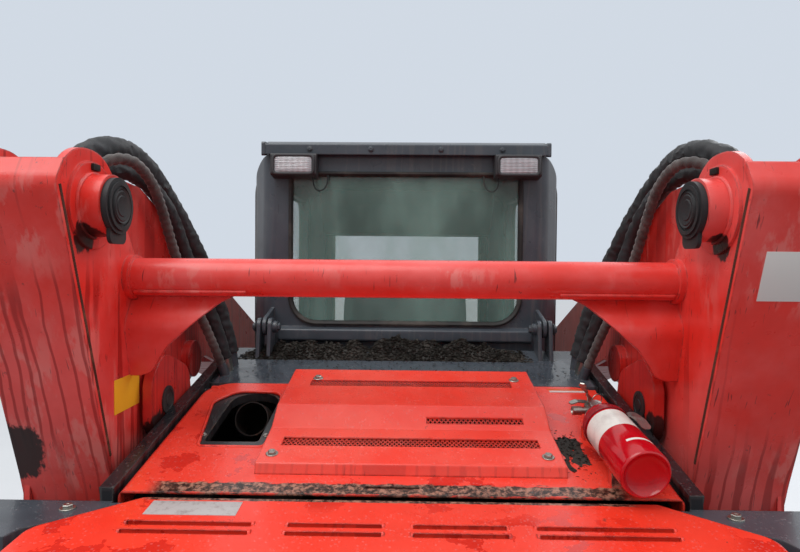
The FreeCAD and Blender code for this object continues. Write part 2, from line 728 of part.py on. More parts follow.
def rear_door_panel():
    cap = side_plate([
        (door_front_y, door_bottom, 0), (door_front_y, door_top, 0), (door_rear_y, door_rear_top, 45),
        (door_rear_y, door_bottom, 0)], -door_half, door_half)
    under = side_plate([
        (door_front_y + 20, door_bottom + door_wall, 0), (door_front_y + 20, door_top - door_wall + 1, 0),
        (door_rear_y + door_wall, door_rear_top - door_wall, 38),
        (door_rear_y + door_wall, door_bottom + door_wall, 0)],
        -door_half, door_half)
    outer = flat_plate(door_plan(0), door_bottom, door_top).common(cap)
    hollow = flat_plate(door_plan(door_wall), door_bottom, door_top).common(under)
    mouth = box(-door_nose + 20, door_nose - 20, door_front_y - 20, door_front_y + 1, door_bottom + 40,
        door_top - 60)
    shell = outer.cut(hollow).cut(mouth)
    grille = wall_plate([(-380, 560, 30), (380, 560, 30), (380, 1000, 30), (-380, 1000, 30)],
        door_rear_y - 1, door_rear_y + 12)
    shell = shell.cut(grille)
    louvres = []
    slots = []
    for x0, x1 in ((-500, -262), (-205, -25), (22, 200), (245, 500)):
        for y in (-1590, -1618):
            z = door_top + (door_rear_top - door_top) * (y - door_front_y) / (door_rear_y - door_front_y)
            hump = rod_between(FreeCAD.Vector(x0, y, z - 3), FreeCAD.Vector(x1, y, z - 3), 7)
            louvres.append(hump.common(box(x0, x1, y - 10, y + 10, z - 3, z + 10)))
            slots.append(box(x0 + 5, x1 - 5, y - 9, y - 1, z - 14, z + 3))
    shell = shell.fuse(louvres).cut(slots[0].fuse(slots[1:]))
    knuckles = []
    for z in (450, 900):
        knuckles.append(box(door_half - 10, rear_hinge[0], rear_hinge[1] - 6, rear_hinge[1] + 6, z, z + 60))
        knuckles.append(rod_z(rear_hinge[0], rear_hinge[1], 14, z, z + 60))
    door = fused([shell] + knuckles)
    return door.cut(rod_z(rear_hinge[0], rear_hinge[1], small_pin + pin_gap, 400, 1000))


def rear_grille():
    y0 = door_rear_y
    edge = wall_plate([(-380, 560, 30), (380, 560, 30), (380, 1000, 30), (-380, 1000, 30)], y0, y0 + 26)
    hole = wall_plate([(-362, 578, 14), (362, 578, 14), (362, 982, 14), (-362, 982, 14)], y0 - 1, y0 + 27)
    slats = []
    for i in range(9):
        z = 606 + i * 42
        slats.append(side_plate([(y0 + 3, z, 0), (y0 + 5, z - 3, 0), (y0 + 24, z + 16, 0),
            (y0 + 22, z + 19, 0)], -364, 364))
    return fused([edge.cut(hole)] + slats)


# Cab

def cab_plan(inset, corner_radius):
    # the rear corners are cut back between the flat rear wall and the sides
    return [
        (-cab_back_half + inset * 0.6, cab_rear + inset, corner_radius),
        (cab_back_half - inset * 0.6, cab_rear + inset, corner_radius),
        (cab_half - inset, cab_rear + 100 + inset * 0.4, corner_radius),
        (cab_half - inset, cab_front - inset, 30),
        (-cab_half + inset, cab_front - inset, 30),
        (-cab_half + inset, cab_rear + 100 + inset * 0.4, corner_radius)]


def cab_section(inset, top, radius):
    # seen from behind, with rounded shoulders
    half = cab_half - inset
    return [(-half, cab_sill - inset, 0), (half, cab_sill - inset, 0), (half, top, radius),
        (-half, top, radius)]


def side_window_outline():
    end = side_window_end
    return [
        (-end, side_window_low, 60), (end, side_window_low, 60), (end, side_window_high, 60),
        (-end, side_window_high, 60)]


def cab_shell():
    outer = flat_plate(cab_plan(0, 60), cab_sill, cab_top)
    outer = outer.common(wall_plate(cab_section(0, cab_top, shoulder), cab_rear, cab_front))
    inner = flat_plate(cab_plan(cab_wall, 30), cab_sill - 1, cab_top)
    inner = inner.common(wall_plate(cab_section(cab_wall, cab_top - ceiling, shoulder - cab_wall + 20),
        cab_rear, cab_front))
    hatch_half = cab_half - shoulder - 40
    hatch = box(-hatch_half, hatch_half, cab_rear + 90, cab_front - 90, cab_top - ceiling - 1, cab_top + 1)
    shell = outer.cut(inner).cut(hatch)
    rear_window = wall_plate(window_outline(window_half, window_low, window_high, 90, 20), cab_rear - 1,
        cab_rear + cab_wall + 1)
    side_window = side_plate(side_window_outline(), -cab_half - 1, cab_half + 1)
    doorway = window_outline(doorway_half, cab_sill - 80, side_window_high, 0, 60)
    front = wall_plate(doorway, cab_front - cab_wall - 1, cab_front + 1)
    return shell.cut(rear_window).cut(side_window).cut(front)


def cab_frame():
    tub_half = frame_half - 30
    tub_in = tub_half - cab_sheet
    tub = box(-tub_half, tub_half, cab_rear, cab_front, cab_floor, cab_sill)
    tub = tub.cut(box(-tub_in, tub_in, cab_rear + cab_sheet, cab_front + 1, cab_floor + cab_sheet,
        cab_sill + 1))
    flange = flat_plate(cab_plan(0, 60), cab_sill, cab_sill + cab_sheet)
    flange = flange.cut(box(-tub_in, tub_in, cab_rear + cab_sheet, cab_front + 1, cab_sill - 1,
        cab_sill + cab_sheet + 1))
    beam = side_plate([
        (cab_rear + 2, window_low - 66, 0), (cab_rear + 2, window_low - 12, 0),
        (cab_rear - 22, window_low - 22, 8),
        (cab_rear - 22, window_low - 60, 8)], -window_half - 40, window_half + 40)
    ear = side_plate([
        (cab_hinge[0] - 28, cab_hinge[1] - 26, 25), (cab_rear + 16, cab_hinge[1] - 40, 0),
        (cab_rear + 16, cab_hinge[1] + 60, 0), (cab_hinge[0] - 28, cab_hinge[1] + 26, 25)],
        cab_ear - ear_thick / 2, cab_ear + ear_thick / 2)
    hinges = []
    for z in door_hinges:
        for low in (z - 16, z + 61):
            hinges.append(box(front_hinge[0] - 12, front_hinge[0] + 12, cab_front - 2, front_hinge[1] + 12,
                low, low + 15))
        hinges.append(rod_z(front_hinge[0], front_hinge[1], small_pin, z - 10, z + 70))
    frame = fused([cab_shell(), tub, flange, beam, ear, mirrored(ear)] + hinges)
    for x in (cab_ear - 23, -cab_ear - 27):
        frame = frame.cut(rod_x(cab_hinge, cab_pin + pin_gap, x, x + 50))
    return frame


def cab_roof():
    roof = side_plate([
        (cab_rear + 30, cab_top, 0), (cab_front + 30, cab_top, 0), (cab_front + 24, roof_top - 14, 14),
        (cab_front - 60, roof_top, 60), (cab_rear + 60, roof_top, 60), (cab_rear + 30, roof_top - 16, 10)],
        -roof_half, roof_half)
    channel_half = roof_half + 2
    channel = side_plate([
        (cab_rear - 34, cab_top - 8, 0), (cab_rear - 28, cab_top - 8, 0), (cab_rear - 28, roof_top - 34, 0),
        (cab_rear + 31, roof_top - 30, 0), (cab_rear + 31, roof_top - 22, 0),
        (cab_rear - 34, roof_top - 26, 6)],
        -channel_half, channel_half)
    floor = box(-channel_half, channel_half, cab_rear - 30, cab_rear + 31, cab_top, cab_top + 5)
    end = side_plate([
        (cab_rear - 36, cab_top - 14, 6), (cab_rear - 6, cab_top - 8, 0), (cab_rear - 2, cab_top, 0),
        (cab_rear + 31, cab_top, 0), (cab_rear + 31, roof_top - 14, 10), (cab_rear - 36, roof_top - 20, 8)],
        channel_half - 12, channel_half)
    return fused([roof, channel, floor, end, mirrored(end)])


def cab_glass():
    rear = wall_plate(window_outline(window_half, window_low, window_high, 90, 20), cab_rear + 10,
        cab_rear + 16)
    side = side_plate(side_window_outline(), cab_half - 20, cab_half - 14)
    return Part.makeCompound([rear, side, mirrored(side)])


def seat_base():
    box_part = box(-200, 200, -420, 20, cab_floor + cab_sheet, seat_z)
    rails = box(-220, 220, -400, 40, seat_z, seat_z + seat_rail)
    post = side_plate([
        (-462, seat_z + 280, 0), (-450, seat_z, 0), (-400.4, seat_z, 0), (-400.4, seat_z + 160, 0),
        (-428.3, seat_z + 280, 0)], -40, 40)
    return fused([box_part, rails, post])


def seat_cushion():
    low = seat_z + seat_rail
    return side_plate([
        (-392, low, 20), (70, low, 50), (90, seat_z + 130, 45), (20, seat_z + 145, 60),
        (-380, seat_z + 110, 30)],
        -245, 245)


def seat_back():
    return side_plate([
        (-392, seat_z + 125, 30), (-300, seat_z + 130, 40), (-350, seat_z + 600, 30),
        (-420, seat_z + 600, 30),
        (-428, seat_z + 280, 0)], -235, 235)


def control_consoles():
    floor = cab_floor + cab_sheet
    lever_x = console_out - console_width + 50
    side = side_plate([
        (-420, floor, 0), (160, floor, 0), (160, seat_z + 60, 60), (60, seat_z + 180, 60),
        (-420, seat_z + 190, 40)],
        console_out - console_width, console_out)
    boot = rod_z(lever_x, 40, 34, seat_z + 175, seat_z + 200)
    lever = rod_z(lever_x, 40, 11, seat_z + 190, seat_z + 330)
    grip = rod_z(lever_x, 40, 22, seat_z + 280, seat_z + 390)
    return both_sides(fused([side, boot, lever, grip]))


def work_lamps():
    high = cab_top - 8
    depth = 58.0
    case = side_plate([
        (cab_rear - depth, lamp_low + 6, 8), (cab_rear, lamp_low, 0), (cab_rear, high, 0),
        (cab_rear - depth, high, 8)], roof_half - 190, roof_half - 34)
    front_low = side_window_high + 5
    x0 = roof_half - 174
    x1 = roof_half - 54
    front = wall_plate([
        (x0, front_low, 14), (x1, front_low, 14), (x1, cab_top - 5, 14), (x0, cab_top - 5, 14)],
        cab_front, cab_front + 40)
    return Part.makeCompound(with_mirror([case, front]))


def door_frame():
    y0 = cab_front + running_gap
    y1 = y0 + 30
    half = door_frame_half
    outer = wall_plate([
        (-half, door_frame_low, 40), (half, door_frame_low, 40), (half, door_frame_high, 70),
        (-half, door_frame_high, 70)], y0, y1)
    hole = wall_plate(window_outline(half - door_rail, door_frame_low + door_rail,
        door_frame_high - door_rail, 50, 50), y0 - 1, y1 + 1)
    parts = [outer.cut(hole)]
    for z in door_hinges:
        parts.append(rod_z(front_hinge[0], front_hinge[1], 14, z, z + 60))
    handle = side_plate(folded([(y1 - 8, 1176, 0), (y1 + 34, 1195, 14), (y1 + 34, 1325, 14),
        (y1 - 8, 1344, 0)], 12), half - 36, half - 18)
    door = fused(parts + [handle])
    for z in door_hinges:
        for low, high in ((z - 20, z - seat_gap), (z + 60 + seat_gap, z + 80)):
            door = door.cut(box(front_hinge[0] - 20, front_hinge[0] + 20, y0 - 10, y1 + 20, low, high))
    return door.cut(rod_z(front_hinge[0], front_hinge[1], small_pin + pin_gap, door_hinges[0] - 100,
        door_hinges[1] + 100))


def door_glass():
    y0 = cab_front + running_gap + 12
    half = door_frame_half
    return wall_plate(window_outline(half - door_rail, door_frame_low + door_rail,
        door_frame_high - door_rail, 50, 50), y0, y0 + 6)


# Lift linkage

def rear_link_frame():
    y, z = link_foot
    hy, hz = link_head
    outline = [
        (y - 98, z - 98, 97), (y + 98, z - 98, 97), (y + 110, z + 40, 40), (-1128, 1040, 60),
        (-1235, 1600, 80),
        (hy + 115, hz + 20, 40), (hy + 115, hz + 115, 113), (hy - 115, hz + 115, 113), (-1566, 1745, 0),
        (-1362, 1125, 60)]
    inside = side_plate(outline, link_in, link_in + link_plate)
    outside = side_plate(outline, link_out - link_plate, link_out)
    back = side_plate(folded([
        (-1352, 1060, 0), (-1370, 1125, 60), (-1574, 1745, 40), (-1545, 1792, 0)], 12), link_in - 4,
        link_out + 4)
    tube = rod_x(cross_tube, cross_tube_radius, -link_in - 2, link_in + 2)
    web = side_plate(folded([(-1238, 1524, 0), (-1290, 1450, 40), (-1262, 1330, 0)], 10), link_in - 300,
        link_in)
    gusset_limit = wall_plate([
        (link_in - 290, 1540, 0), (link_in, 1540, 0), (link_in, 1320, 0), (link_in - 50, 1335, 30),
        (link_in - 95, 1400, 60), (link_in - 210, 1500, 60)],
        -1320, -1200)
    gusset = web.common(gusset_limit)
    collar = rod_x(cross_tube, cross_tube_radius + 8, link_in - 14, link_in)
    pad = rod_x(link_head, 90, link_in - 6, link_in)
    frame = fused(with_mirror([inside, outside, back, gusset, collar, pad]) + [tube])
    for x in (-link_out - 1, link_in - 7):
        frame = frame.cut(rod_x(link_foot, link_pin + pin_gap, x, x + link_out - link_in + 8))
        frame = frame.cut(rod_x(link_head, head_pin, x, x + link_out - link_in + 8))
    return frame


def link_bosses():
    pin = rod_x(link_head, head_pin, link_in - 6, link_out)
    boss = rod_x(link_head, 64, boss_face, link_in - 6)
    head = rod_x(link_head, 36, link_out, link_out + 10)
    return both_sides(fused([pin, boss, head]))


def boss_caps():
    at = link_head
    shell = rod_x(at, 58, boss_face - 12, boss_face)
    ring = rod_x(at, 50, boss_face - 16, boss_face - 12)
    ring = ring.cut(rod_x(at, 42, boss_face - 17, boss_face - 13))
    tab = side_plate([(at[0] - 34, at[1] - 78, 16), (at[0] + 34, at[1] - 78, 16),
        (at[0] + 34, at[1] - 30, 0), (at[0] - 34, at[1] - 30, 0)],
                     boss_face - 8, boss_face)
    return both_sides(fused([shell, ring, tab]))


def lift_arm():
    head_y, head_z = link_head
    outline = [
        (head_y - 80, head_z - 80, 78), (-1330, 1560, 60), (-1235, 1280, 40), (-1235, 1165, 60),
        (-1040, 1165, 60),
        (-880, 1205, 60), (-700, 1290, 80), (560, 850, 200), (690, 800, 0), (806, 800, 60), (806, 960, 60),
        (560, 1081, 200), (-780, 1622, 200), (-1170, 1780, 80), (head_y - 80, head_z + 95, 78)]
    arm = side_plate(outline, arm_in, arm_out)
    inner = arm_in + arm_plate
    outer = arm_out - arm_plate
    hollow = side_plate([
        (-500, 1240, 0), (560, 872, 0), (790, 816, 0), (790, 948, 0), (560, 1060, 0), (-500, 1480, 0)],
        inner, outer)
    pocket = side_plate([
        (-560, 900, 0), (-560, 1512, 0), (-780, 1604, 0), (-1166, 1760, 0), (-1290, 1765, 0),
        (-1290, 2000, 0),
        (-2000, 2000, 0), (-2000, 900, 0)], inner, outer)
    arm = arm.cut(hollow).cut(pocket)
    partition = box(inner, outer, -1400, -1300, hose_foot_z - hose_socket - 6, hose_foot_z - hose_socket + 4)
    sockets = [hose_socket_at(hose_upper, hose_upper_radius), hose_socket_at(hose_lower, hose_lower_radius)]
    control_boss = rod_x(control_rear, 22, control_out + running_gap, inner)
    eye_boss = rod_x(lift_eye, 55, control_out + running_gap, inner)
    arm = fused([arm, partition, control_boss, eye_boss] + sockets)
    arm = arm.cut(rod_x(link_head, head_pin + pin_gap, arm_in - 1, arm_out + 1))
    eye_half = 28 + running_gap
    stubs = [rod_x(lift_eye, 26, inner, cylinder_x - eye_half),
        rod_x(lift_eye, 26, cylinder_x + eye_half, outer)]
    cap = rod_x(lift_eye, 34, arm_out, arm_out + 8)
    return fused([arm, cap] + stubs)


def arm_leg():
    leg = side_plate([
        (650, 790, 0), (650, 1000, 70), (790, 990, 90), (850, 850, 120), (1030, 262, 90), (1045, 150, 60),
        (925, 150, 60), (880, 330, 60), (735, 620, 60)], leg_in, leg_out)
    slot = side_plate([
        (664, 790, 0), (749, 624, 0), (893, 336, 0), (893, 0, 0), (1300, 0, 0), (1300, 1200, 0),
        (664, 1200, 0)],
        leg_in + arm_plate, leg_out - arm_plate)
    leg = leg.cut(slot)
    leg = leg.cut(rod_x(coupler_pivot, coupler_pin + pin_gap, leg_in - 1, leg_out + 1))
    pin = rod_x(tilt_base, tilt_pin, leg_in + arm_plate, leg_out - arm_plate)
    cap = rod_x(tilt_base, tilt_pin + 16, leg_in - 8, leg_in)
    return fused([leg, pin, cap])


def arm_cross_tube():
    return rod_x((865, 480), 50, -leg_in, leg_in)


# Hoses from the lift arm down to the apron behind the cab

def route_wire(points):
    spots = [FreeCAD.Vector(*point) for point in points]
    edges = []
    start = spots[0]
    for i in range(1, len(spots) - 1):
        back = spots[i - 1] - spots[i]
        ahead = spots[i + 1] - spots[i]
        shorter = min(back.Length, ahead.Length)
        half = (FreeCAD.Vector(0, 0, 0) - back).getAngle(ahead) / 2
        reach = 0.45 * shorter
        back.normalize()
        ahead.normalize()
        radius = reach / tan(half)
        middle = (back + ahead).normalize()
        first = spots[i] + back * reach
        last = spots[i] + ahead * reach
        top = spots[i] + middle * (radius / cos(half) - radius)
        edges.append(Part.makeLine(start, first))
        edges.append(Part.Arc(first, top, last).toShape())
        start = last
    edges.append(Part.makeLine(start, spots[-1]))
    return Part.Wire(edges)


def hose(points, radius):
    path = route_wire(points)
    start = FreeCAD.Vector(*points[0])
    way = FreeCAD.Vector(*points[1]) - start
    section = Part.Wire(Part.makeCircle(radius, start, way))
    return path.makePipeShell([section], True, False)


def hoses():
    return Part.makeCompound([hose(hose_upper, hose_upper_radius), hose(hose_lower, hose_lower_radius)])


def control_link():
    y0, z0 = control_rear
    y1, z1 = control_front
    rear = side_plate([
        (y0 - 92, z0 - 78, 60), (y0 + 60, z0 - 90, 60), (y0 + 180, z0 - 60, 60), (y0 + 150, z0 + 60, 70),
        (y0 - 20, z0 + 128, 80), (y0 - 92, z0 + 70, 60)], control_in, control_out)
    angle = atan2(z1 - z0, y1 - y0)
    side = (-sin(angle), cos(angle))
    half = 32
    bar = side_plate([
        (y0 + side[0] * half, z0 + side[1] * half, 0), (y0 - side[0] * half, z0 - side[1] * half, 0),
        (y1 - side[0] * half, z1 - side[1] * half, 0), (y1 + side[0] * half, z1 + side[1] * half, 0)],
        control_in, control_out)
    end = rod_x(control_front, 42, control_in, control_out)
    link = fused([rear, bar, end])
    return link.cut(rod_x(control_front, control_pin + pin_gap, control_in - 1, control_out + 1))


# Cylinders

def spot(x, at):
    return FreeCAD.Vector(x, at[0], at[1])


def barrel(x, start, end, radius, reach, eye_half, pin, rod_radius):
    tube = rod_between(spot(x, along(start, end, radius * 0.6)), spot(x, along(start, end, reach)), radius)
    bore = rod_between(spot(x, along(start, end, radius + 30)), spot(x, along(start, end, reach + 1)),
        radius - 9)
    gland = rod_between(spot(x, along(start, end, reach - 40)), spot(x, along(start, end, reach)), radius)
    head = rod_between(spot(x, along(start, end, reach - 46)), spot(x, along(start, end, reach - 4)),
        radius + cylinder_head)
    eye = rod_x(start, radius + 4, x - eye_half, x + eye_half)
    shape = fused([tube.cut(bore), gland, head, eye])
    shape = shape.cut(rod_between(spot(x, along(start, end, reach - 60)),
        spot(x, along(start, end, reach + 5)), rod_radius + pin_gap))
    return shape.cut(rod_x(start, pin + pin_gap, x - 60, x + 60))


def piston_rod(x, start, end, radius, reach, eye_half, pin):
    bar = rod_between(spot(x, along(start, end, reach)), spot(x, end), radius)
    eye = rod_x(end, pin + 20, x - eye_half, x + eye_half)
    return fused([bar, eye]).cut(rod_x(end, pin + 6, x - 60, x + 60))


def lift_barrel():
    return barrel(cylinder_x, lift_base, lift_eye, lift_bore, 860, 34, link_pin, lift_rod_radius)


def lift_rod():
    return piston_rod(cylinder_x, lift_base, lift_eye, lift_rod_radius, 180, 28, 18)


def tilt_barrel():
    return barrel(tilt_x, tilt_base, tilt_eye, 33, 470, 30, tilt_pin, 19)


def tilt_rod():
    return piston_rod(tilt_x, tilt_base, tilt_eye, 19, 160, 24, 16)


# Coupler and bucket

def quick_coupler():
    outline = [
        (925, 155, 58), (coupler_face, 155, 0), (coupler_face, 520, 0), (1000, 520, 40), (955, 300, 60)]
    plate_end = leg_out + 39
    inside = leg_in + arm_plate + 5.5
    outside = leg_out - arm_plate - 5.5
    lug = side_plate(outline, inside, inside + 10)
    other = side_plate(outline, outside - 10, outside)
    pin = rod_x(coupler_pivot, coupler_pin, leg_in - 4, leg_out + 4)
    plate = wall_plate([
        (300, 150, 30), (plate_end, 150, 30), (plate_end, 520, 0), (300, 520, 0)], coupler_face, bucket_back)
    lever = side_plate([(1030, 520, 0), (1050, 520, 0), (1056, 640, 9), (1036, 640, 9)], 400, 414)
    wedge = box(392, 420, coupler_face - 22, coupler_face, 170, 524)
    top = side_plate([
        (coupler_face - 12, 505, 0), (bucket_back, 505, 0), (bucket_back, 530, 0),
        (coupler_face - 12, 530, 6)],
        -plate_end, plate_end)
    tie = side_plate(folded([(coupler_face, 150, 0), (coupler_face, 240, 0)], bucket_back - coupler_face),
        -300, 300)
    return fused(with_mirror([lug, other, pin, plate, wedge]) + [top, tie])


def bucket():
    back = bucket_back
    plate = bucket_plate
    profile = [
        (back, bucket_height, 0), (back, 100, 60), (back + 30, 0, 60), (bucket_lip, 0, 0),
        (bucket_lip - 26, 40, 0),
        (bucket_lip - 300, 390, 80), (back + 90, bucket_height + 10, 60)]
    outer = side_plate(profile, -bucket_half, bucket_half)
    inner = side_plate([
        (back + plate, bucket_height + 60, 0), (back + plate, 106, 52), (back + 38, plate, 50),
        (bucket_lip + 30, plate, 0), (bucket_lip + 30, bucket_height + 60, 0)], -bucket_half + plate,
        bucket_half - plate)
    shell = outer.cut(inner)
    edge = side_plate([
        (bucket_lip - 150, plate, 0), (bucket_lip - 8, plate, 0), (bucket_lip - 30, plate + 14, 0),
        (bucket_lip - 150, plate + 14, 0)],
        -bucket_half + plate, bucket_half - plate)
    rim_bar = side_plate([
        (back + plate, bucket_height - 60, 0), (back + plate + 46, bucket_height - 14, 10),
        (back + plate + 40, bucket_height, 0),
        (back + plate, bucket_height, 0)], -bucket_half + plate, bucket_half - plate)
    cutter = side_plate([
        (bucket_lip - 240, 20, 0), (bucket_lip - 40, 20, 0), (bucket_lip - 60, 80, 20),
        (bucket_lip - 240, 290, 20)],
        bucket_half, bucket_half + 10)
    return fused([shell, edge, rim_bar, cutter, mirrored(cutter)])


# Hand extinguisher

def bottle(radius):
    return rod_between(FreeCAD.Vector(*bottle_base), FreeCAD.Vector(*bottle_neck), radius)


def fire_extinguisher():
    base = FreeCAD.Vector(*bottle_base)
    neck = FreeCAD.Vector(*bottle_neck)
    way = (neck - base).normalize()
    length = (neck - base).Length
    profile = [
        (0, 0), (0, bottle_radius - 12), (6, bottle_radius - 2), (14, bottle_radius),
        (length - 40, bottle_radius),
        (length - 18, bottle_radius - 10), (length, 20), (length + 14, 17), (length + 14, 24),
        (length + 40, 24), (length + 40, 0)]
    points = [FreeCAD.Vector(0, r, a) for a, r in profile]
    body = Part.Face(Part.makePolygon(points + [points[0]])).revolve(FreeCAD.Vector(0, 0, 0),
        FreeCAD.Vector(0, 0, 1), 360)
    body.Placement = FreeCAD.Placement(base, FreeCAD.Rotation(FreeCAD.Vector(0, 0, 1), way))
    return body


nodes = {
    "main_frame": main_frame(),
    "axle_housings": axle_housings(),
    "link_towers": link_towers(),
    "frame_pins": frame_pins(),
    "hood_surround": hood_surround(),
    "rear_corner_panels": corner_panels(),
    "rear_bumper": rear_bumper(),
    "tail_lamps": tail_lamps(),
    "engine_block": engine_block(),
    "exhaust_pipe": exhaust_pipe(),
    "exhaust_collar": exhaust_collar(),
    "hood_panel": hood_panel(),
    "hood_screen": hood_screen(),
    "screen_mesh": screen_mesh(),
    "fire_extinguisher": fire_extinguisher(),
    "rear_door_panel": rear_door_panel(),
    "rear_grille": rear_grille(),
    "cab_frame": cab_frame(),
    "cab_roof": cab_roof(),
    "cab_glass": cab_glass(),
    "seat_base": seat_base(),
    "seat_cushion": seat_cushion(),
    "seat_back": seat_back(),
    "control_consoles": control_consoles(),
    "work_lamps": work_lamps(),
    "door_frame": door_frame(),
    "door_glass": door_glass(),
    "rear_link_frame": rear_link_frame(),
    "link_bosses": link_bosses(),
    "boss_caps": boss_caps(),
    "arm_cross_tube": arm_cross_tube(),
    "quick_coupler": quick_coupler(),
    "bucket": bucket(),
}

right_hand = {
    "lift_arm": lift_arm(),
    "arm_leg": arm_leg(),
    "hoses": hoses(),
    "control_link": control_link(),
    "lift_barrel": lift_barrel(),
    "lift_rod": lift_rod(),
    "tilt_barrel": tilt_barrel(),
    "tilt_rod": tilt_rod(),
    "tyre_rear": tyre((rear_axle_y, axle_z)),
    "tyre_front": tyre((front_axle_y, axle_z)),
    "rim_rear": rim((rear_axle_y, axle_z)),
    "rim_front": rim((front_axle_y, axle_z)),
}

for name, shape in right_hand.items():
    nodes[name + "_right"] = shape
    nodes[name + "_left"] = mirrored(shape)

for name, shape in nodes.items():
    shape.exportStep("parts/" + name + ".step")
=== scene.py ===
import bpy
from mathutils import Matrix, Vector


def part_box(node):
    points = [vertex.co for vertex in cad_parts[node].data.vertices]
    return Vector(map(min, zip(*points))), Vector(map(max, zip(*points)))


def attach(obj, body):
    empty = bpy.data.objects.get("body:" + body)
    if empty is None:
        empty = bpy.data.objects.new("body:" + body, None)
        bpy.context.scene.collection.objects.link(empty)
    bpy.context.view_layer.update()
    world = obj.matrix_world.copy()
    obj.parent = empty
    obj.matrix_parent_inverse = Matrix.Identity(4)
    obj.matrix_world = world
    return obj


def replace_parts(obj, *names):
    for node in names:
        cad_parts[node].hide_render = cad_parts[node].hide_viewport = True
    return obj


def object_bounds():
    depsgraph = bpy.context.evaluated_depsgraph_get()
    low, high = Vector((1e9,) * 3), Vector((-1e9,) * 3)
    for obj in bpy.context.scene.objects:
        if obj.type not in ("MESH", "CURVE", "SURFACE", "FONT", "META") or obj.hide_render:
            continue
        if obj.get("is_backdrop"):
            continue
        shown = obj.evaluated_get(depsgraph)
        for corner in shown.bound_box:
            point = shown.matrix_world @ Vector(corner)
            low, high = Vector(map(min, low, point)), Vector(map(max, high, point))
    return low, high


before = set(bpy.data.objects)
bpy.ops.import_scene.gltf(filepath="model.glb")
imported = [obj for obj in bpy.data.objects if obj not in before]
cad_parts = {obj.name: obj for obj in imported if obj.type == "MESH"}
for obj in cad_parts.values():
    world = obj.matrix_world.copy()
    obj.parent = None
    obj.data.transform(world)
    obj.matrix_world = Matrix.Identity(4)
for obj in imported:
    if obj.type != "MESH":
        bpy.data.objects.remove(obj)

"""Looks, camera and light of a skid steer loader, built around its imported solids.

Every length is in metres in the frame of the solids: +X to the driver's right, +Y forward, +Z up.
"""

import logging
import math
from dataclasses import dataclass, field
from enum import Enum
from typing import Callable, Sequence

import bmesh
import bpy
from mathutils import Matrix, Vector, noise

logging.basicConfig(level=logging.INFO, format="%(message)s")
LOG = logging.getLogger("loader")

Point = tuple[float, float, float]
Color = tuple[float, float, float]
Flat = tuple[float, float]
SEED = 11
UP = Vector((0, 0, 1))


class Body(str, Enum):
    """Rigid bodies that pieces ride on."""

    FRAME = "frame"
    HOOD = "hood"
    REAR_DOOR = "rear_door"
    CAB = "cab"
    FRONT_DOOR = "front_door"
    REAR_LINK = "rear_link"
    ARMS = "lift_arms"


class Side(Enum):
    """The two sides of the machine, as the sign of X."""

    LEFT = -1
    RIGHT = 1

    @property
    def word(self) -> str:
        """The side's name as the solids have it."""
        return self.name.lower()

    @property
    def out(self) -> Vector:
        """The way from the machine's middle to this side."""
        return Vector((self.value, 0, 0))

    def place(self, x: float, y: float, z: float) -> Vector:
        """Return a point given for the right-hand side, on this side."""
        return Vector((x * self.value, y, z))


def blend(a: float, b: float, share: float) -> float:
    """Return a number between two others."""
    return a + (b - a) * share


def toned(color: Color, factor: float) -> Color:
    """Return a colour made lighter or darker."""
    return tuple(min(1.0, part * factor) for part in color)


def linked(name: str, data: bpy.types.ID) -> bpy.types.Object:
    """Return a new object in the scene, made of some data."""
    made = bpy.data.objects.new(name, data)
    bpy.context.scene.collection.objects.link(made)
    return made


# Shader building


class Graph:
    """A thin way to add nodes to a tree."""

    def __init__(self, tree: bpy.types.NodeTree) -> None:
        self.tree = tree

    def add(self, kind: str, inputs: dict | None = None, **settings: object) -> bpy.types.Node:
        """Add a node.

        Args:
            kind: The node's type name.
            inputs: Values or sockets for its inputs, by name or index.
            **settings: Attributes of the node.

        Returns:
            The new node.
        """
        node = self.tree.nodes.new(kind)
        for key, value in settings.items():
            setattr(node, key, value)
        for key, value in (inputs or {}).items():
            self.feed(node.inputs[key], value)
        return node

    def feed(self, socket: bpy.types.NodeSocket, value: object) -> None:
        """Link or set one input socket."""
        if isinstance(value, Value):
            value = value.socket
        if isinstance(value, bpy.types.NodeSocket):
            self.tree.links.new(value, socket)
        elif isinstance(value, tuple) and socket.type == "RGBA":
            socket.default_value = (*value, 1.0)
        else:
            socket.default_value = value

    def value(self, kind: str, inputs: dict | None = None, output: int | str = 0, **settings: object) -> "Value":
        """Add a node and return one of its outputs."""
        return Value(self, self.add(kind, inputs, **settings).outputs[output])

    def place(self) -> "Value":
        """Return the object coordinates, which are metres in the machine's frame."""
        return self.value("ShaderNodeTexCoord", output="Object")

    def normal(self) -> "Value":
        """Return the way that a face looks."""
        return self.value("ShaderNodeNewGeometry", output="Normal")

    def seen(self) -> "Value":
        """Return where the camera sees a surface, straight or through glass."""
        rays = self.add("ShaderNodeLightPath").outputs
        return Value(self, rays["Is Camera Ray"]).either(rays["Is Transmission Ray"])


